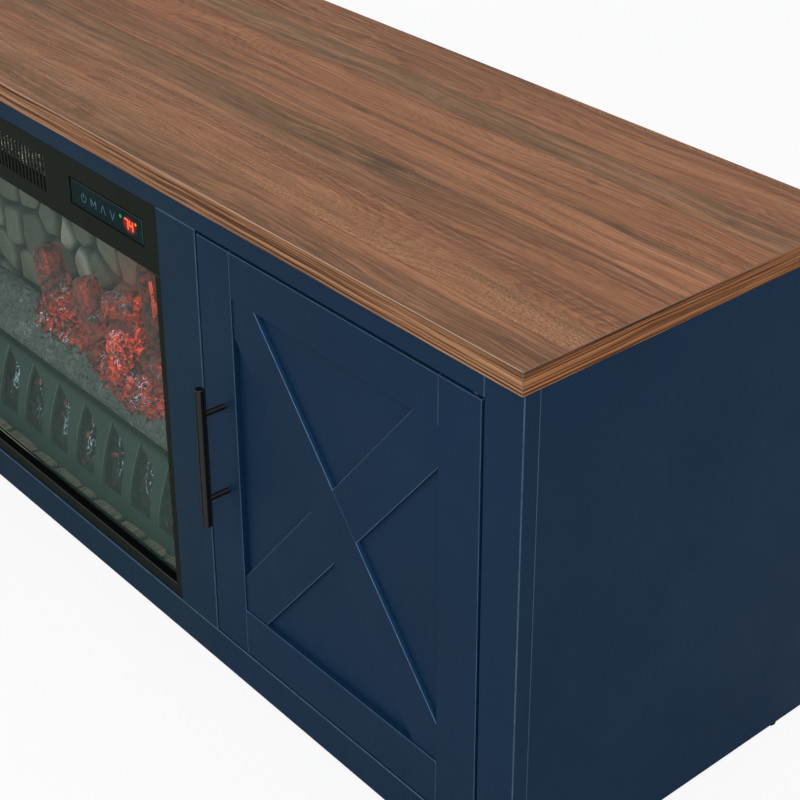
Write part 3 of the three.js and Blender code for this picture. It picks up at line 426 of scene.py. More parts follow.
def touch(name):
    g = Graph(name)
    x, y, z = g.split(g.object)
    low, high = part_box("control_panel")
    fine = g.noise(60.0, 3.0, 0.6)
    colour = g.tint(srgb(18, 36, 38), fine, 0.3, 0.7, 1.0, srgb(24, 42, 44))
    # Painted highlight on the arrises
    colour = g.mix(arris_mask(g) * 0.6, colour, srgb(40, 56, 60))
    # Distances in mm inwards from each side of the window
    inward = {
        "right": (x - high.x + WINDOW_MARGIN) / -MM, "head": (z - high.z + WINDOW_MARGIN) / -MM,
        "left": (x - low.x - WINDOW_MARGIN) / MM, "foot": (z - low.z - WINDOW_MARGIN) / MM}
    # Painted highlight: fine pale lines inside each side of the window, strongest at the right
    for side, start, end, share in (
            ("right", 4.6, 5.6, 0.75), ("head", 3.4, 4.2, 0.45), ("left", 0.6, 1.5, 0.4),
            ("foot", 0.5, 1.1, 0.3)):
        line = g.between(inward[side], start - 0.2, start, end, end + 0.2)
        colour = g.mix(line * share, colour, srgb(72, 88, 88))
    # Painted shadow: near black along the right and top edges
    for side, start, end in (("right", 4.6, 4.2), ("head", 3.2, 2.8)):
        colour = g.tint(colour, inward[side], start, end, 1.0, srgb(3, 4, 5))
    # Painted red glow round the digits, given as emission
    far = ((x - HAZE_X) / HAZE_WIDE) ** 2.0 + ((z - HAZE_Z) / HAZE_TALL) ** 2.0
    light = g.mix(g.range(far, 1.0, 0.0) ** 2.0, BLACK, srgb(178, 30, 10))
    return g.finish(colour, 0.3, g.bump(fine, 0.01, 0.0002), 0.02, Emission_Color=light,
                    Emission_Strength=1.0)


# Moulded grate with painted highlights on its right-facing arrises and painted shade on its rail's top and
# up-facing faces
def grate_finish(name):
    g = Graph(name)
    fine = g.noise(260.0, 3.0, 0.6)
    x, y, z = g.split(g.object)
    normal_x, normal_y, normal_z = g.split(g.normal)
    base = srgb(50, 70, 63)
    # Painted shade: a dark band along the rail's top and near-black up-facing faces; the low rail tinted teal
    colour = g.tints(
        g.mottled(base, fine, 0.35, 0.65, 0.85, 1.15),
        (g.noise(11.0, 3.0, 0.5), 0.4, 0.6, 0.3, times(base, 1.35)),
        (z, 0.147, 0.151, 0.55, srgb(20, 28, 26)), (z, 0.088, 0.075, 0.7, srgb(28, 60, 54)),
        (normal_z, 0.7, 0.95, 1.0, srgb(14, 22, 20)))
    # Painted highlight on the right-facing arrises, stronger higher up
    edge = g.between(normal_x, 0.3, 0.5, 0.9, 0.97) * g.range(z, 0.085, 0.11, 0.35, 1.0)
    colour = g.mix(edge, colour, srgb(200, 206, 178))
    return g.finish(colour, 0.5, g.bump(fine, 0.25, 0.0002), 0.15)


def brushed(name, base, direction, roughness=0.32):
    g = Graph(name)
    lines = g.noise(1.0, 4.0, 0.6, g.moved(scale=direction))
    colour = g.mottled(base, lines, 0.3, 0.7, 0.8, 1.12)
    rough = g.range(lines, 0.3, 0.7, roughness - 0.08, roughness + 0.1)
    return g.finish(colour, rough, g.bump(lines, 0.2, 0.0001), Metallic=1.0)


MATERIALS = {
    "navy_paint": navy("navy_paint"),
    "navy_brace": navy("navy_brace", only_front=True),
    "board_core": navy("navy_board", roughness=0.6, base=(18, 42, 68)),
    "walnut_laminate": walnut("walnut_laminate"),
    "hardboard": hardboard("hardboard"),
    "black_metal": speckled("black_metal", srgb(22, 22, 21), 0.2, 700.0, 0.34, 0.3, 0.12, srgb(70, 70, 68)),
    "fascia_black": speckled("fascia_black", srgb(25, 31, 23), 0.12, 900.0, 0.5, 0.0, 0.2, srgb(72, 76, 68),
                             gloss=0.06, sill_shade=srgb(4, 7, 9)),
    "touch_glass": touch("touch_glass"),
    "fire_glass": glass("fire_glass"),
    "dark_sheet": speckled("dark_sheet", srgb(27, 29, 28), 0.15, 500.0, 0.5, 0.2, 0.15),
    "zinc_steel": brushed("zinc_steel", srgb(176, 178, 180), (40.0, 500.0, 900.0)),
    "rotor_foil": brushed("rotor_foil", srgb(214, 208, 196), (30.0, 400.0, 400.0), 0.2),
    "black_plastic": speckled("black_plastic", srgb(30, 30, 31), 0.15, 800.0, 0.55, 0.0, 0.3),
    "grate_finish": grate_finish("grate_finish"),
}


def dress_frame():
    for sub in frame["record"]["subparts"]:
        node = sub["node"]
        name = "navy_brace" if node.endswith("_brace") else sub["material_slot"]
        if name in MATERIALS:
            slots = NODES[node].data.materials
            slots.clear()
            slots.append(MATERIALS[name])
    weld = NODES["fire_grate"].modifiers.new("weld", "WELD")
    weld.merge_threshold = 0.01 * MM
    arris = NODES["fire_grate"].modifiers.new("arris", "BEVEL")
    arris.width = 1.2 * MM
    arris.segments = 1
    arris.limit_method = "ANGLE"
    arris.angle_limit = math.radians(50)
    arris.use_clamp_overlap = True


def new_mesh(name, verts, faces, material):
    mesh = bpy.data.meshes.new(name)
    mesh.from_pydata([tuple(v) for v in verts], [], [tuple(f) for f in faces])
    mesh.materials.append(material)
    return mesh


# Its layers give one value for each vertex, and the material reads them as attributes
def new_piece(name, verts, faces, material, slot, body="cabinet", smooth=True, **layers):
    mesh = new_mesh(name, verts, faces, material)
    if smooth:
        mesh.shade_smooth()
    mesh.update()
    for layer, values in layers.items():
        data = mesh.attributes.new(layer, "FLOAT", "POINT").data
        data.foreach_set("value", np.asarray(values, np.float32))
    piece = in_scene(name, mesh)
    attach(piece, body)
    return piece


def grid_faces(rows, columns, closed=False):
    faces = []
    wide = columns if closed else columns - 1
    for i in range(rows - 1):
        for j in range(wide):
            k = (j + 1) % columns
            faces.append((i * columns + j, i * columns + k, (i + 1) * columns + k, (i + 1) * columns + j))
    return faces


def ball(detail):
    shell = bmesh.new()
    bmesh.ops.create_icosphere(shell, subdivisions=detail, radius=1.0)
    points = [vert.co.copy() for vert in shell.verts]
    faces = [[vert.index for vert in face.verts] for face in shell.faces]
    shell.free()
    return points, faces


def thicken(piece, thickness, offset):
    wall = piece.modifiers.new("wall", "SOLIDIFY")
    wall.thickness = thickness
    wall.offset = offset


def rocky(position, scale, seed):
    return noise.noise(Vector(position) * scale + Vector((seed, seed * 1.7, -seed)))


def limited(value, low=0.0, high=1.0):
    return max(low, min(high, value))


# Moulded stone wall, with the red light of the fire on the stones nearest to it
FIRE_X, FIRE_Z, FIRE_WIDE, FIRE_TALL = 85 * MM, 270 * MM, 100 * MM, 85 * MM
STONE_ROWS, STONE_COLUMNS = 8, 10
# Stones beside the logs: place along and up in metres, tone, height and lean as shares
STONES = [
    (-0.0816, 0.2955, 1.45, 1.0, 0.3), (-0.052, 0.2735, 1.15, 0.9, 0.3), (-0.116, 0.303, 0.45, 0.9, 0.1),
    (-0.047, 0.3085, 0.4, 0.8, 0.2), (-0.097, 0.263, 0.35, 0.8, 0.0), (-0.017, 0.282, 0.35, 0.8, 0.2)]


def stone_material():
    g = Graph("stone_moulding")
    fine = g.noise(90.0, 5.0, 0.65)
    grit = g.noise(420.0, 3.0, 0.7)
    body = g.ramp(g.attribute("tone") * 0.7 + fine * 0.3, [
        (0.1, srgb(74, 78, 66)), (0.35, srgb(104, 110, 92)), (0.6, srgb(130, 136, 116)),
        (0.9, srgb(186, 190, 172))])
    body = g.tint(body, grit, 0.35, 0.7, 0.35, srgb(64, 60, 54))
    crevice = g.range(g.attribute("joint"), 0.1, 0.62, 1.0, 0.0, smooth=True)
    x, y, z = g.split(g.object)
    across, up = (x - FIRE_X) / FIRE_WIDE, (z - FIRE_Z) / FIRE_TALL
    near = g.range(across * across + up * up, 1.0, 0.0) ** 1.5
    colour = g.mix(crevice, body, srgb(36, 42, 38))
    light = g.mix(near, BLACK, srgb(92, 26, 20))
    return g.finish(colour, 0.75, g.bump(fine + grit * 0.35, 0.5, 0.0015), Emission_Color=light,
                    Emission_Strength=1.0)


def stone_wall():
    low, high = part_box("stone_wall")
    board = high.y - 5 * MM
    rng = random.Random(11)
    step_x, step_z = (high.x - low.x) / STONE_COLUMNS, (high.z - low.z) / STONE_ROWS
    seeds = []
    for row in range(-1, STONE_ROWS + 1):
        for column in range(-1, STONE_COLUMNS + 1):
            shift = 0.5 if row % 2 else 0.0
            seeds.append((
                low.x + (column + 0.5 + shift + rng.uniform(-0.24, 0.24)) * step_x,
                low.z + (row + 0.5 + rng.uniform(-0.24, 0.24)) * step_z,
                rng.uniform(0.15, 1.0), rng.uniform(0.6, 1.0), rng.uniform(-0.5, 0.5)))
    seeds = [seed for seed in seeds if all(math.dist(seed[:2], stone[:2]) > 25 * MM for stone in STONES)]
    seeds = np.array(seeds + STONES)
    count_x, count_z = 236, 156
    xs, zs = np.linspace(low.x, high.x, count_x), np.linspace(low.z, high.z, count_z)
    reach = board - low.y
    verts, tones, joints = [], [], []
    for z in zs:
        for x in xs:
            warp = rocky((x, 0, z), 22, 3) * 7 * MM
            dx = x + warp - seeds[:, 0]
            dz = (z - warp - seeds[:, 1]) * 1.18
            distance = np.hypot(dx, dz + dx * seeds[:, 4])
            first = int(np.argmin(distance))
            ahead = np.delete(distance - distance[first], first)
            gap = -0.1 * math.log(np.exp(-ahead / (0.05 * step_z)).sum())
            dome = math.sqrt(max(0.0, 1 - (1 - limited((gap - 0.14) / 0.7)) ** 2.2))
            rough = rocky((x, 0, z), 55, 9) * 0.08 + rocky((x, 0, z), 160, 5) * 0.03
            height = reach * (0.06 + 0.86 * dome * seeds[first, 3] + rough * dome)
            verts.append((x, board - limited(height, 0.0, reach), z))
            tones.append(seeds[first, 2] * (1.0 - 0.6 * limited((x + 0.03) / 0.1)))
            joints.append(gap)
    # Sides and back of the board
    count = len(verts)
    verts += [(x, high.y, z) for x, z in ((xs[0], zs[0]), (xs[-1], zs[0]), (xs[-1], zs[-1]), (xs[0], zs[-1]))]
    tones += [0.2] * 4
    joints += [0.0] * 4
    b0, b1, b2, b3 = range(count, count + 4)
    faces = grid_faces(count_z, count_x) + [
        [*range(count_x - 1, -1, -1), b0, b1], [*range(count - count_x, count), b2, b3],
        [*range(0, count, count_x), b3, b0], [*range(count - 1, 0, -count_x), b1, b2], [b0, b3, b2, b1]]
    piece = new_piece(
        "stone_face", verts, faces, stone_material(), "stone_moulding", tone=tones, joint=joints)
    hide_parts("stone_wall")


# Glowing and charred moulding: bright ridges over dark crevices, with cold glints from the glass.
# The glow comes as an attribute, so that it follows the pile.
def ember_material(name, char, ash, strength, scale=1.0, glints=0.0, ridged=1.0, depth=0.8):
    g = Graph(name)
    glow = g.attribute("glow")
    fine = g.noise(210.0 * scale, 4.0, 0.65, distortion=0.6)
    contour = abs(g.noise(105.0 * scale, 3.0, 0.6, distortion=0.9) - 0.5)
    ridge = g.range(contour, 0.065, 0.012, smooth=True)
    crevice = g.range(g.noise(130.0 * scale, 3.0, 0.6, distortion=0.5), 0.47, 0.4)
    patch = g.range(g.noise(42.0, 3.0, 0.6), 0.4, 0.6, 0.55, 1.1)
    heat = (ridge * (0.62 * ridged) + (0.82 - 0.62 * ridged)) * patch * glow
    heat = g.math("MULTIPLY", heat, g.range(crevice, 0.0, 1.0, 1.0, 0.12), clamp=True)
    body = g.ramp(g.range(fine, 0.36, 0.64), [(0.0, times(char, 0.7)), (0.45, times(char, 2.0)), (1.0, ash)])
    colour = g.tints(
        body, (glow, 0.05, 0.6, 0.75, srgb(120, 44, 36)), (crevice, 0.0, 1.0, depth, times(char, 0.6)))
    light = g.ramp(heat, [
        (0.0, BLACK), (0.12, srgb(60, 16, 10)), (0.4, srgb(156, 42, 26)), (0.7, srgb(230, 72, 42)),
        (1.0, srgb(255, 104, 62))])
    if glints:
        line = abs(g.noise(120.0, 2.0, 0.55, g.moved((3, 1, 2), (1, 1, 0.7))) - 0.5)
        where = g.range(g.noise(30.0, 2.0, 0.5, g.moved((5, 2, 1))), 0.53, 0.57)
        glint = g.range(line, 0.016, 0.006) * where * glints
        colour = g.mix(glint, colour, srgb(190, 204, 212))
        light = g.mix(glint, light, srgb(150, 166, 176))
    return g.finish(colour, 0.5, g.bump(fine + ridge * 0.5, 0.7, 0.002), Emission_Color=light,
                    Emission_Strength=strength)


EMBER = ember_material("ember_moulding", srgb(30, 26, 24), srgb(112, 96, 90), 1.35, glints=0.85)
BRIGHT = ember_material("ember_bright", srgb(26, 22, 20), srgb(100, 84, 78), 1.5, 1.3, glints=0.85)
BARK = ember_material("ember_bark", srgb(44, 34, 30), srgb(126, 90, 80), 1.0, 0.9, glints=0.4, ridged=0.85)
TRUNK = ember_material("trunk_bark", srgb(36, 26, 19), srgb(96, 68, 50), 0.6, 0.8, ridged=0.4)
# Glowing red finish for two thin slivers: a painted reflection of the embers on the firebox's right side
RED_REFLECTION = ember_material("red_reflection_sliver", srgb(60, 20, 12), srgb(120, 50, 36), 3.2, 0.6, ridged=0.25)
ASH = ember_material("ash", srgb(66, 78, 71), srgb(116, 130, 120), 1.1, 1.3, glints=0.3, depth=0.15)
FIREBOX_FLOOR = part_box("firebox_casing")[0].z
BED = FACE + 63 * MM
BED_DEPTH = 44 * MM
BED_HALF = 286 * MM
CROWN = FIREBOX_FLOOR + (1.2 + 116 + 38) * MM
# Logs: two ends, each as shares along and into the bed and a rise in steps of 25 mm, then the radius
# in mm, the heat of the bark and of the ends, and a finish where it isn't plain bark
RISE = 25 * MM
LOGS = [
    ((-0.306, 0.64, 3.5), (-0.16, 0.45, 1.2), 18, 0.62, 0.75, BARK),
    ((-0.3, 0.75, 1.2), (-0.125, 0.25, 1.5), 16.5, 0.9, 1.0, BARK),
    ((-0.1, 0.7, 1.3), (0.0, 0.28, 1.45), 10, 0.9, 0.9, BARK),
    ((0.0, 0.64, 3.3), (0.14, 0.4, 0.7), 15, 0.76, 0.75, BARK),
    ((0.24, 0.35, 3.1), (0.37, 0.75, 3.5), 17, 0.95, 0.95, BARK),
    ((0.42, 0.85, 5.8), (0.475, 0.85, 1.2), 13, 0.45, 0.4, TRUNK),
    ((0.2, 0.8, 1.2), (0.35, 0.75, 1.4), 24, 0.9, 1.0, BARK),
    ((0.48, 0.6, 1.1), (0.72, 0.6, 1.5), 17, 0.75, 0.6, BARK),
    # This row and the last are thin glowing slivers, a painted reflection of the embers
    ((0.495, 0.6, 5.3), (0.511, 0.6, 4.1), 1.7, 1.0, 1.0, RED_REFLECTION),
    ((0.45, 0.5, 1.35), (0.6, 0.5, 1.75), 11, 0.7, 0.6, BARK),
    ((-0.05, 0.7, 2.2), (0.06, 0.5, 1.2), 14, 0.7, 0.6, BARK),
    ((0.51, 0.6, 4.35), (0.516, 0.6, 3.6), 2.8, 1.0, 1.0, RED_REFLECTION),
]


def place(share_x, share_y, rise):
    return Vector((share_x * BED_HALF, BED + share_y * BED_DEPTH, CROWN + rise * RISE))


def log(name, start, end, radius, seed, heat, end_heat, finish):
    axis = end - start
    length = axis.length
    axis.normalize()
    side = axis.cross(Vector((0, 0, 1)) if abs(axis.z) < 0.9 else Vector((0, 1, 0))).normalized()
    other = axis.cross(side)
    rings, around = 44, 56
    verts, glow = [], []
    for i in range(rings + 1):
        share = i / rings
        wide = 1.0 - 0.22 * math.exp(-min(share, 1 - share) * 38)
        centre = start + axis * (length * share)
        bend = rocky(centre, 14, seed) * radius * 0.2
        for j in range(around):
            angle = 2 * math.pi * j / around
            direction = side * math.cos(angle) + other * math.sin(angle)
            bark = abs(rocky((angle * 1.6, share * length * 16, 0), 1.9, seed))
            plate = rocky((math.cos(angle) * 2.2, math.sin(angle) * 2.2, share * length * 40), 1.0, seed + 2)
            grit = rocky(centre + direction * radius, 210, seed)
            reach = radius * wide * (0.93 + 0.16 * bark + 0.1 * plate + 0.04 * grit)
            verts.append(centre + direction * reach + side * bend)
            glow.append(heat * (0.55 + 0.6 * bark + 0.5 * max(0.0, -direction.z)) * (0.8 + 0.5 * plate))
    faces = grid_faces(rings + 1, around, closed=True)
    # Cracked ends, each in rings that shrink towards its middle
    for rim, middle, outward, turn in ((0, start, -axis, -1), (rings * around, end, axis, 1)):
        previous = [rim + j for j in range(around)]
        for shrink in (0.86, 0.66, 0.44, 0.22):
            current = [len(verts) + j for j in range(around)]
            for j in range(around):
                point = middle + (verts[rim + j] - middle) * shrink
                crack = rocky(point, 240, seed + 5)
                groove = 0.06 * math.sin(shrink * 34) + 0.12 * crack
                verts.append(point + outward * radius * (0.08 * (1 - shrink) + groove * 0.4))
                glow.append(end_heat * (0.75 + 0.9 * crack))
                k = (j + 1) % around
                faces.append((previous[j], previous[k], current[k], current[j])[::turn])
            previous = current
        for j in range(around):
            faces.append((previous[j], previous[(j + 1) % around], len(verts))[::turn])
        verts.append(middle + outward * radius * 0.05)
        glow.append(end_heat)
    piece = new_piece(name, verts, faces, finish, "ember_moulding", glow=np.clip(glow, 0, 1))
    piece.data.materials.append(EMBER)
    for polygon in piece.data.polygons[rings * around:]:
        polygon.material_index = 1
    return piece


# Front edge of the red embers: place along the bed and height in metres
RED_EDGE = [
    (-0.14, 0.215), (-0.113, 0.186), (-0.054, 0.187), (0.013, 0.189), (0.055, 0.18), (0.096, 0.172),
    (0.154, 0.176), (0.235, 0.205)]


def heat_at(x, z):
    if x <= RED_EDGE[0][0] or x >= RED_EDGE[-1][0]:
        return 0.0
    edge = float(np.interp(x, *zip(*RED_EDGE)))
    side = limited(0.3 + (x + 0.125) / 0.06, 0.3)
    return side * limited((z - edge + 6 * MM) / (14 * MM))


class Heap:
    def __init__(self):
        self.verts, self.faces, self.glow = [], [], []

    def lump(self, rng, centre, radius, seed, heat, detail=2):
        points, faces = BALLS[detail]
        spin = Matrix.Rotation(rng.uniform(0, 6.28), 3, "Z") @ Matrix.Rotation(rng.uniform(0, 6.28), 3, "X")
        stretch = Vector((rng.uniform(0.8, 1.25), rng.uniform(0.75, 1.1), rng.uniform(0.6, 1.0) * 0.8))
        base = len(self.verts)
        for point in points:
            bulge = 1 + 0.28 * rocky(point, 1.3, seed) + 0.12 * rocky(point, 3.4, seed)
            self.verts.append(Vector(centre) + spin @ (point * stretch) * bulge * radius)
            self.glow.append(limited(heat * (0.8 + 0.7 * rocky(point, 2.0, seed))))
        self.faces.extend([base + corner for corner in face] for face in faces)

    def piece(self, name, material):
        return new_piece(name, self.verts, self.faces, material, "ember_moulding", glow=self.glow)


BALLS = {detail: ball(detail) for detail in (1, 2)}
# The ash slope that carries the logs: distance behind the face and height, in mm
SLOPE = [(62, 120), (62.5, 158), (64, 166), (70, 173), (78, 182), (88, 196), (98, 200), (107, 199)]


def ground_at(y):
    return float(np.interp(y, *zip(*SLOPE[1:]))) * MM


def ember_bed():
    rng = random.Random(5)
    count_x, count_s = 250, 34
    lengths = np.cumsum([0] + [math.dist(a, b) for a, b in zip(SLOPE, SLOPE[1:])])
    shares = np.linspace(0, 1, count_s)
    ys, zs = (np.interp(shares, lengths / lengths[-1], values) * MM for values in zip(*SLOPE))
    verts, glow = [], []
    for y, z in zip(ys + FACE, zs):
        for x in np.linspace(-BED_HALF, BED_HALF, count_x):
            bump = rocky((x, y, z), 60, 1) * 3.2 + rocky((x, y, z), 170, 2) * 1.6
            point = (x, y - bump * 0.5 * MM, z + bump * MM * (0.3 if z < 0.15 else 1.0))
            verts.append(point)
            glow.append(heat_at(x, point[2]) * (0.7 + 0.9 * rocky((x, y, z), 80, 4)))
    faces = [face[::-1] for face in grid_faces(count_s, count_x)]
    bed = new_piece("ash_bed", verts, faces, ASH, "ember_moulding", glow=np.clip(glow, 0, 1))
    thicken(bed, 4 * MM, 1.0)
    # Embers heaped round the logs, dull behind the front edge and under the ember ball
    embers = Heap()
    for k in range(1100):
        x = rng.uniform(-0.135, 0.225)
        y = rng.uniform(62, 106)
        ground = ground_at(y)
        radius = rng.uniform(1.8, 4.2) * MM + (1.2 * MM if y > 84 else 0.0)
        heat = heat_at(x, ground + 6 * MM) * rng.uniform(0.85, 1.0)
        if heat < 0.3:
            continue
        if y > 84:
            heat *= 0.6
        if math.hypot(x - 0.088, ground - 0.215) < 0.026:
            heat *= 0.4
        embers.lump(rng, (x, FACE + y * MM, ground + radius * rng.uniform(0.2, 0.9)), radius, k, heat)
    # Grey granules over the ash
    granules = Heap()
    for k in range(220):
        x = rng.uniform(-0.284, 0.284)
        y = rng.uniform(62.5, 86)
        ground = ground_at(y)
        radius = rng.uniform(1.0, 2.2) * MM
        centre = (x, FACE + y * MM, ground + radius * 0.4)
        granules.lump(rng, centre, radius, k + 500, heat_at(x, ground) * 0.6, detail=1)
    return [bed, embers.piece("embers", EMBER), granules.piece("ash_granules", ASH)]


def ember_ball():
    middle = place(0.37, 0.1, 1.56)
    rng = random.Random(21)
    cells = [Vector((rng.gauss(0, 1), rng.gauss(0, 1), rng.gauss(0, 1))).normalized() for _ in range(110)]
    verts, glow = [], []
    points, faces = ball(6)
    for point in points:
        nearest, second = sorted((point - cell).length for cell in cells)[:2]
        gap = second - nearest
        pit = math.exp(-(gap / 0.06) ** 2)
        radius = 23 * MM * (1 + 0.1 * min(1.0, gap / 0.16) - 0.05 * pit + 0.05 * rocky(point, 4, 2))
        verts.append(middle + Vector((point.x * radius, point.y * radius * 0.45, point.z * radius)))
        glow.append(min(1.0, 1.0 - 0.55 * pit + 0.25 * rocky(point, 3, 8)))
    return new_piece("ember_ball", verts, faces, BRIGHT, "ember_moulding", glow=np.clip(glow, 0, 1))


# Charcoal behind the bays: dark, with a few red lumps and cold upright glints right of the middle
BAY_PITCH = 58 * MM
GRATE_FOOT, GRATE_HEAD = 55.2 * MM, 146.5 * MM
GRATE_BACK, GRATE_BULGE = 37 * MM, 21 * MM


def coal_material():
    g = Graph("coal")
    x, y, z = g.split(g.object)
    fine = g.noise(150.0, 4.0, 0.6)
    body = g.ramp(g.range(fine, 0.36, 0.64), [
        (0.0, srgb(6, 9, 8)), (0.55, srgb(14, 19, 17)), (1.0, srgb(34, 44, 41))])
    bay = g.math("FRACT", x / BAY_PITCH + 0.5)
    where = g.between(bay, 0.3, 0.37, 0.58, 0.66) * g.between(z, 0.078, 0.09, 0.124, 0.138)
    line = abs(g.noise(1.0, 2.5, 0.55, g.moved(scale=(130.0, 60.0, 52.0))) - 0.5)
    glint = g.range(line, 0.024, 0.008, 0.0, 0.85) * g.range(g.noise(46.0, 2.0, 0.5), 0.42, 0.52) * where
    spots = g.range(g.noise(70.0, 3.0, 0.6), 0.6, 0.68, 0.0, 0.8) * g.between(bay, 0.12, 0.24, 0.54, 0.62)
    colour = g.mix(spots, g.mix(glint, body, srgb(176, 204, 214)), srgb(120, 50, 42))
    light = g.mix(glint, g.mix(spots, BLACK, srgb(116, 40, 34)), srgb(122, 146, 156))
    return g.finish(colour, 0.55, g.bump(fine, 0.5, 0.0015), 0.2, Emission_Color=light,
                    Emission_Strength=0.8)


def front_coals():
    verts = []
    count_x, count_z = 300, 46
    for z in np.linspace(0.0475, 0.1515, count_z):
        rise = limited((z - GRATE_FOOT) / (GRATE_HEAD - GRATE_FOOT))
        back = FACE + GRATE_BACK + GRATE_BULGE * rise * rise
        for x in np.linspace(-BED_HALF, BED_HALF, count_x):
            cell = rocky((x, 0, z * 0.8), 48, 6) + 0.5 * rocky((x, 0, z), 120, 2)
            verts.append((x, max(back + 1.2 * MM, min(back + (6.5 + 5.0 * cell) * MM, FACE + 61.4 * MM)), z))
    faces = [face[::-1] for face in grid_faces(count_z, count_x)]
    piece = new_piece("front_coals", verts, faces, coal_material(), "ember_moulding")
    thicken(piece, 0.6 * MM, -1.0)


# Long flat stone chips on the floor in front of the grate, their ends painted black as shade in the gaps
# between them
CHIP_JOINTS = [-288, -238, -192, -142, -97, -38, 8, 64, 92, 151, 196, 240, 288]
CHIP_DEEP, CHIP_TALL = 8.0, 5.4


def pebble_material():
    g = Graph("pebbles")
    x, y, z = g.split(g.object)
    fine = g.noise(260.0, 4.0, 0.65)
    hatch = g.grain((x + z) * 620.0, 0.0, (x - z) * 90.0, 3.0, 0.6)
    body = g.ramp(g.attribute("tone"), [
        (0.0, srgb(44, 44, 36)), (0.5, srgb(66, 64, 52)), (1.0, srgb(92, 88, 72))])
    body = g.tints(
        body, (fine, 0.44, 0.6, 0.5, srgb(40, 38, 32)), (hatch, 0.5, 0.58, 0.8, srgb(168, 160, 134)),
        (z, 0.0515, 0.056, 0.25, srgb(176, 170, 146)))
    # Painted shade: the chips' ends go black, for the shaded gaps between them
    body = g.mix(g.attribute("rim"), body, srgb(6, 8, 8))
    return g.finish(body, 0.6, g.bump(fine, 0.4, 0.001), 0.2)


def pebbles():
    rng = random.Random(31)
    verts, faces, tone, rim = [], [], [], []
    low = FIREBOX_FLOOR + 1.3 * MM
    points, ball_faces = ball(4)
    for k, (start_x, end_x) in enumerate(zip(CHIP_JOINTS, CHIP_JOINTS[1:])):
        middle = Vector(((start_x + end_x) / 2 * MM, FACE + 22.6 * MM, low + 5.6 * MM))
        half = Vector(((end_x - start_x) / 2 - rng.uniform(0.4, 1.4), CHIP_DEEP, CHIP_TALL)) * MM
        turn = rng.uniform(-0.05, 0.05)
        base = len(verts)
        for point in points:
            boxy = Vector([math.copysign(abs(part) ** 0.62, part) for part in point])
            bulge = 1 + 0.13 * rocky(point, 1.5, k) + 0.05 * rocky(point, 5.0, k)
            spot = middle + boxy * half * min(bulge, 1.08)
            spot.z = max(spot.z - boxy.x * turn * half.x, low)
            spot.y = limited(spot.y, FACE + 14.2 * MM, FACE + 32.6 * MM)
            verts.append(spot)
            tone.append(0.5 + 0.9 * rocky(point, 1.6, k + 3))
            # Painted shade: share of black towards each chip's ends
            rim.append(limited((abs(point.x) - 0.8) / 0.16))
        faces.extend([base + corner for corner in face] for face in ball_faces)
    new_piece("pebbles", verts, faces, pebble_material(), "ember_moulding", tone=np.clip(tone, 0, 1), rim=rim)


def fire():
    stone_wall()
    pieces = []
    for k, (start, end, radius, *looks) in enumerate(LOGS):
        pieces.append(log(f"log_{k + 1}", place(*start), place(*end), radius * MM, 3.1 * k, *looks))
    for piece in [*pieces, ember_ball(), *ember_bed()]:
        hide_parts("log_set")
    front_coals()
    pebbles()


# Control panel: generic marks and lit digits on the touch window, in mm
MARKS_Y = FACE + 4 * MM
POWER_X, MODE_X, UP_X, DOWN_X = 166, 184, 202.2, 219.7
LED_X, DIGIT_X, DEGREE_X = 234.6, (242.4, 251.0), 261.8
MARK_HALF, ARROW_HALF, DIGIT_WIDE, DIGIT_TALL = 4.4, 4.1, 5.4, 9.8
SEGMENTS = {
    "a": ((0, 1), (1, 1)), "b": ((1, 1), (1, 0.5)), "c": ((1, 0.5), (1, 0)), "d": ((0, 0), (1, 0)),
    "e": ((0, 0.5), (0, 0)), "f": ((0, 1), (0, 0.5)), "g": ((0, 0.5), (1, 0.5))}


def emissive(name, colour, strength):
    g = Graph(name)
    light = g.mottled(colour, g.noise(700.0, 2.0, 0.5), 0.3, 0.7, 0.85, 1.1)
    return g.finish((0.01, 0.012, 0.014), 0.3, Emission_Color=light, Emission_Strength=strength)


def strokes(name, paths, width, material):
    verts, faces = [], []
    for path in paths:
        for (x0, z0), (x1, z1) in zip(path, path[1:]):
            along = Vector((x1 - x0, 0, z1 - z0)).normalized() * (width / 2)
            side = Vector((-along.z, 0, along.x))
            a, b = Vector((x0, 0, z0)) - along * 0.6, Vector((x1, 0, z1)) + along * 0.6
            base = len(verts)
            for depth in (0, 0.15):
                for corner in (a - side, b - side, b + side, a + side):
                    verts.append(Vector((corner.x * MM, MARKS_Y - depth * MM, corner.z * MM)))
            sides = [(i, (i + 1) % 4, 4 + (i + 1) % 4, 4 + i) for i in range(4)]
            for face in ((4, 5, 6, 7), *sides, (3, 2, 1, 0)):
                faces.append([base + corner for corner in face])
    new_piece(name, verts, faces, material, "touch_glass", smooth=False)


def arc(x, z, radius, start, end, steps=14):
    angles = [math.radians(start + (end - start) * i / steps) for i in range(steps + 1)]
    return [(x + radius * math.sin(a), z + radius * math.cos(a)) for a in angles]


def digit(x, z, lit):
    return [[(x + u * DIGIT_WIDE, z + v * DIGIT_TALL) for u, v in SEGMENTS[key]] for key in lit]


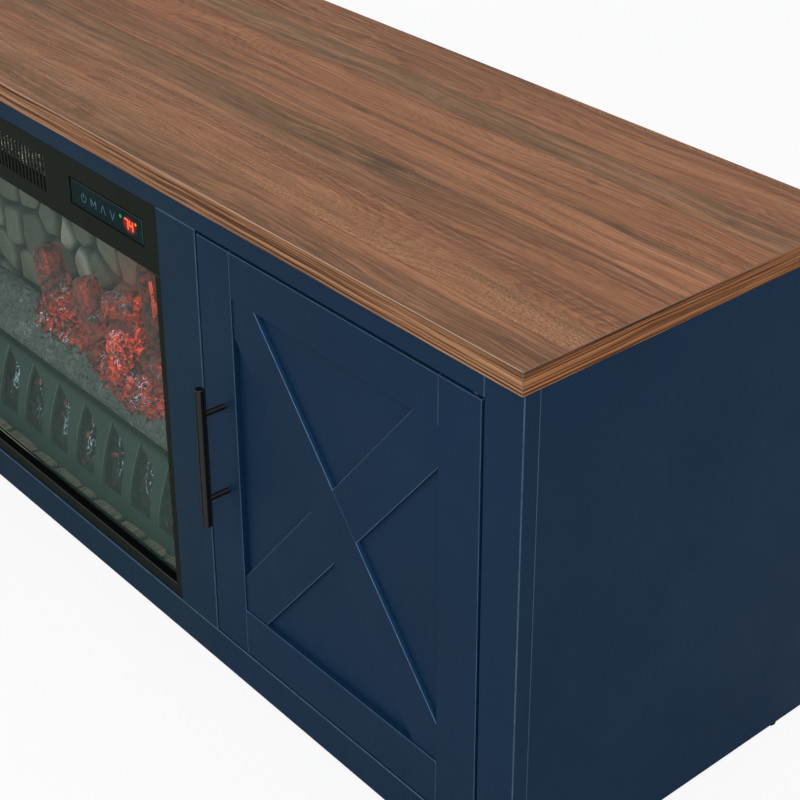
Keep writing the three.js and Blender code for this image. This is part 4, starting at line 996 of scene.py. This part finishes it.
def control_marks():
    low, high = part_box("control_panel")
    z = (low.z + high.z) / 2 / MM - 2.6
    foot, head = z - MARK_HALF, z + MARK_HALF
    marks = [
        arc(POWER_X, z, MARK_HALF, 35, 325), [(POWER_X, z + 1.2), (POWER_X, z + 6.0)],
        [(MODE_X - MARK_HALF, foot), (MODE_X - MARK_HALF, head), (MODE_X, z - 1.6),
         (MODE_X + MARK_HALF, head), (MODE_X + MARK_HALF, foot)],
        [(UP_X - ARROW_HALF, foot), (UP_X, head + 0.2), (UP_X + ARROW_HALF, foot)],
        [(DOWN_X - ARROW_HALF, head), (DOWN_X, foot - 0.2), (DOWN_X + ARROW_HALF, head)]]
    led = [arc(LED_X, z + 5.0, 1.4, 0, 350, 10)]
    digits = digit(DIGIT_X[0], foot, "abc") + digit(DIGIT_X[1], foot, "bcfg")
    degree = [arc(DEGREE_X, z + 5.2, 1.2, 0, 350, 10)]
    strokes("control_icons", marks, 0.62, emissive("mark_blue", srgb(72, 118, 146), 0.75))
    strokes("control_led", led, 1.0, emissive("mark_green", srgb(30, 190, 110), 0.9))
    strokes("control_digits", digits, 1.8, emissive("mark_red", srgb(255, 88, 30), 1.7))
    strokes("control_degree", degree, 0.9, emissive("mark_amber", srgb(255, 132, 40), 1.3))


# Small steel hardware that the solids leave out, as profiles of radius and height in mm
SHELF_PIN = [(2.5, 0.1), (2.5, 6), (2.2, 6.5)]
SCREW = [(0.2, 0), (2.6, 0), (3.2, 0.5), (2.2, 1.4), (0.4, 1.6)]
STRIKE_X, STRIKE_HALF_X, STRIKE_HALF_Z, STRIKE_THICK = 381 * MM, 7 * MM, 11 * MM, 1 * MM
SCREW_X, PIN_INSET, PIN_DROP, PIN_SUNK = 358 * MM, 30 * MM, 2.7 * MM, 0.4 * MM


def lathed(name, profile, around, at, axis):
    verts = []
    turn = Vector((0, 0, 1)).rotation_difference(Vector(axis)).to_matrix()
    for radius, along in profile:
        for j in range(around):
            angle = 2 * math.pi * j / around
            point = turn @ Vector((radius * math.cos(angle), radius * math.sin(angle), along))
            verts.append(Vector(at) + point * MM)
    faces = grid_faces(len(profile), around, closed=True)
    faces.append(list(range(around))[::-1])
    faces.append(list(range(len(verts) - around, len(verts))))
    new_piece(name, verts, faces, MATERIALS["zinc_steel"], "zinc_steel")


def hardware():
    for side, sign in (("right", 1), ("left", -1)):
        low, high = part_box(f"{side}_shelf")
        inner, outer = sorted((abs(low.x), abs(high.x)))
        for k, (x, direction) in enumerate(((inner - PIN_SUNK, 1), (outer + PIN_SUNK, -1))):
            for m, y in enumerate((low.y + PIN_INSET, high.y - PIN_INSET)):
                at = (sign * x, y, low.z - PIN_DROP)
                lathed(f"{side}_shelf_pin_{k}{m}", SHELF_PIN, 16, at, (sign * direction, 0, 0))
        catch_low, catch_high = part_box(f"{side}_magnet_catch")
        middle_z = (catch_low.z + catch_high.z) / 2
        door_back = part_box(f"{side}_door_panel")[1].y
        verts = []
        for y in (door_back, door_back + STRIKE_THICK):
            for dx, dz in ((-1, -1), (1, -1), (1, 1), (-1, 1)):
                verts.append((sign * STRIKE_X + dx * STRIKE_HALF_X, y, middle_z + dz * STRIKE_HALF_Z))
        faces = [(0, 1, 2, 3), (7, 6, 5, 4), (0, 4, 5, 1), (1, 5, 6, 2), (2, 6, 7, 3), (3, 7, 4, 0)]
        strike = new_piece(f"{side}_strike_plate", verts, faces, MATERIALS["zinc_steel"], "zinc_steel",
                           f"{side}_door", smooth=False)
        rim = strike.modifiers.new("rim", "BEVEL")
        rim.width = 0.3 * MM
        rim.segments = 2
        lathed(f"{side}_catch_screw", SCREW, 20, (sign * SCREW_X, catch_high.y, middle_z), (0, 1, 0))


# Metal fins standing in the upper part of the warm-air slots, dark with bright flecks of painted glint, in mm
FIN_COUNT, FIN_PITCH, FIN_FOOT, FIN_HEIGHT, FIN_LEVELS = 26, 7.3, 466.5, 22.8, 26
FIN_OUTLINE = ((-1.75, 3.0), (-0.8, 2.2), (0.9, 2.6), (1.75, 3.4), (1.75, 5.4), (-1.75, 5.4))


def vent_fins():
    g = Graph("vent_fins")
    fleck = g.noise(420.0, 3.0, 0.7)
    tone = fleck * 0.75 + g.noise(60.0, 2.0, 0.5) * 0.25
    # Painted glints: near-white flecks in the fins' colour over dark
    colour = g.ramp(g.range(tone, 0.38, 0.62), [
        (0.0, srgb(8, 9, 6)), (0.45, srgb(36, 38, 27)), (0.75, srgb(92, 92, 72)), (1.0, srgb(214, 210, 190))])
    finish = g.finish(colour, 0.4, g.bump(fleck, 0.6, 0.0015), 0.4)
    rng = random.Random(3)
    verts, faces = [], []
    sides = len(FIN_OUTLINE)
    part = grid_faces(FIN_LEVELS, sides, closed=True)
    part.append(tuple(range(sides))[::-1])
    part.append(tuple(range((FIN_LEVELS - 1) * sides, FIN_LEVELS * sides)))
    for k in range(FIN_COUNT):
        middle = (k - (FIN_COUNT - 1) / 2) * FIN_PITCH
        faces.extend(tuple(len(verts) + corner for corner in face) for face in part)
        for i in range(FIN_LEVELS):
            z = FIN_FOOT + FIN_HEIGHT * i / (FIN_LEVELS - 1)
            for x, y in FIN_OUTLINE:
                stagger = rng.uniform(-0.35, 0.35) if y < 5 else 0.0
                verts.append(((middle + x) * MM, FACE + (1.1 + y * 0.6 + stagger) * MM, z * MM))
    new_piece("vent_fins", verts, faces, finish, "zinc_steel", smooth=False)


# Stage: the floor reads white in the picture and keeps its shadow, and lights the object as pale grey
def floor():
    g = Graph("floor")
    cloud = g.noise(0.7, 2.0, 0.5)
    sight = g.out("Is Camera Ray", "LightPath")
    pale = g.mix(cloud, times(WHITE, 0.5), times(WHITE, 0.52))
    white = g.mix(cloud, times(WHITE, 0.93), times(WHITE, 0.95))
    matt = g.out(0, "BsdfDiffuse", {"Color": g.mix(sight, pale, white)})
    glow = g.out(0, "Emission", {"Color": WHITE, "Strength": 1.0})
    g.add("OutputMaterial", {"Surface": g.out(0, "MixShader", {0: sight * 0.87, 1: matt, 2: glow})})
    reach = 30.0
    corners = [(-reach, -reach, 0), (reach, -reach, 0), (reach, reach, 0), (-reach, reach, 0)]
    in_scene("floor", new_mesh("floor", corners, [(0, 1, 2, 3)], g.owner))


def studio():
    world = bpy.data.worlds.new("studio")
    bpy.context.scene.world = world
    g = Graph("studio", world)
    lit = g.out(0, "Background", {"Color": (0.93, 0.96, 1.0), "Strength": 0.5})
    seen = g.out(0, "Background", {"Color": WHITE, "Strength": 1.0})
    sight = g.out("Is Camera Ray", "LightPath")
    g.add("OutputWorld", {"Surface": g.out(0, "MixShader", {0: sight, 1: lit, 2: seen})})


def softbox(name, at, target, size, watts, colour=WHITE):
    data = bpy.data.lights.new(name, "AREA")
    data.shape = "RECTANGLE"
    data.size, data.size_y = size
    data.energy = watts
    data.color = colour
    lamp = in_scene(name, data)
    lamp.location = at
    lamp.rotation_euler = (Vector(target) - Vector(at)).to_track_quat("-Z", "Y").to_euler()


look_camera()
dress_frame()
fire()
control_marks()
hardware()
vent_fins()
floor()
studio()
softbox("key", (3.2, -2.6, 3.0), (0.3, 0, 0.3), (2.2, 1.8), 92, (1.0, 0.99, 0.97))
softbox("fill", (-1.8, -3.4, 1.8), (0.0, 0, 0.3), (2.4, 2.0), 32, (0.95, 0.97, 1.0))
softbox("top", (0.3, 0.6, 3.4), (0.3, 0, 0.5), (3.0, 2.0), 26)

bpy.context.scene.view_settings.view_transform = "Standard"
